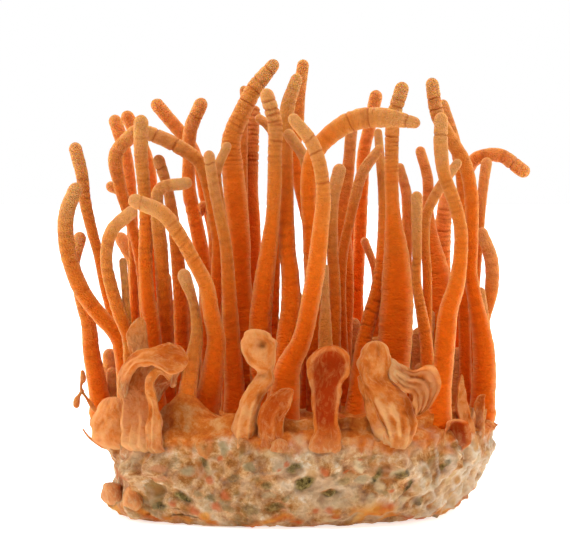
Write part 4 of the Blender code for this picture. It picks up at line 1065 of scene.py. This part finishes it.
        (-19.4, 35.2, 33, -13.8, 35.6, 33.4, 0.8, -1.6, 1.3),
    ]),
    "rear_middle": ("lobe_rear_middle", 0.10, 0, 0.7, 1.8, [
        (0.6, 37.6, 13, 5.6, 37.8, 13, 1.6, 0, 0), (0.8, 37, 19, 5.4, 37.4, 19, 1.7, 0, 0),
        (1.5, 36.6, 24.6, 5.8, 36.8, 24, 1.8, -0.3, 0.1), (3.4, 36.6, 29.4, 6.9, 37, 27, 1.7, -0.4, 0.1),
        (6.8, 36.4, 32.2, 8.4, 36.8, 29.6, 1.4, -0.3, 0.1),
    ]),
    "rear_right": ("lobe_rear_right", 0.10, 0.5, 0.55, 2.6, [
        (19.4, 34, 13, 25.4, 31.8, 13, 1.5, 0, 0), (19.6, 33.6, 19, 25.6, 31.4, 19, 1.6, -0.3, 0.2),
        (19.8, 34, 25, 26.2, 32, 25, 1.2, -1.2, 0.8), (18.6, 34.2, 30.4, 25.4, 32.6, 30.6, 0.9, -2.0, 1.2),
        (17.8, 33.6, 33.6, 23, 32.6, 34.2, 0.8, -1.8, 1.3),
    ]),
}
for seed, (key, (cad_name, striae, hollow_shade_depth, tone, cap, rows)) in enumerate(LOBES.items(), FIRST_LOBE_SEED):
    root_top = 0.0 if key.startswith("nub_") else LOBE_ROOT_TOP
    places, values = sheet(
        rows, cap, seed, striae, hollow_shade_depth, tone, root_top, RIDGES.get(key, ()), DIMPLES.get(key, ()),
    )
    covered_nodes = [cad_name] if cad_name else []
    roll_skin("lobe_" + key + "_skin", places, values, lobe_flesh, "lobe_flesh", *covered_nodes)

# ---- Studio ----
# A pale table that runs back without an edge, a white surround that is brightest at the back, and four
# soft boxes: one at each side, one above and a weak one in front.

bm = bmesh.new()
bmesh.ops.create_grid(bm, x_segments=1, y_segments=1, size=4.0)
floor_mesh = bpy.data.meshes.new("floor")
bm.to_mesh(floor_mesh)
bm.free()
# Matt white card, lit a little from within so that it stays as pale as the surround.
paper = new_material(
    "white_card_matte", Base_Color=colour("F6F5F2"), Roughness=0.9,
    Emission_Color=(1.0, 1.0, 1.0, 1.0), Emission_Strength=0.62,
)[0]
floor_mesh.materials.append(paper)
in_scene("floor", floor_mesh)

world = bpy.data.worlds.new("studio")
bpy.context.scene.world = world
world.use_nodes = True
tree = world.node_tree
tree.nodes.clear()
direction = add(tree, "SeparateXYZ", {0: add(tree, "TexCoord").outputs["Generated"]})
behind = add(tree, "MapRange", {
    "Value": direction.outputs["Y"], "From Min": -0.7, "From Max": 0.6, "To Min": 0.14, "To Max": 1.45,
})
seen = add(tree, "LightPath").outputs["Is Camera Ray"]
bright = add(tree, "Mix", {0: seen, 2: behind.outputs["Result"], 3: 1.0})
sky = add(tree, "Background", {"Color": (1.0, 1.0, 1.0, 1.0), "Strength": bright.outputs[0]})
add(tree, "OutputWorld", {"Surface": sky.outputs[0]})

CENTRE = Vector((0.0, 0.0, 0.045))      # what the lights face
for label, place, width, power in [
    ("left_box", (-0.75, 0.35, 0.35), 0.6, 3.9),
    ("right_box", (0.75, 0.35, 0.35), 0.6, 3.9),
    ("top_box", (-0.15, -0.25, 0.9), 0.3, 5.6),
    ("front_box", (0.1, -1.0, 0.55), 0.8, 0.5),
]:
    lamp = bpy.data.lights.new(label, "AREA")
    lamp.shape = "SQUARE"
    lamp.size = width
    lamp.energy = power
    light = in_scene(label, lamp)
    light.location = place
    light.rotation_euler = (CENTRE - light.location).to_track_quat("-Z", "Y").to_euler()

camera_data = bpy.data.cameras.new("camera")
camera_data.lens = 208.2
camera_data.sensor_width = 36.0
camera_data.clip_start = 0.01
camera = in_scene("camera", camera_data)
camera.location = (-0.00085, -0.7, 0.076)
LOOKED_AT = Vector((-0.00085, 0.0, 0.0488))
camera.rotation_euler = (LOOKED_AT - camera.location).to_track_quat("-Z", "Y").to_euler()
bpy.context.scene.camera = camera
bpy.context.scene.view_settings.view_transform = "Standard"
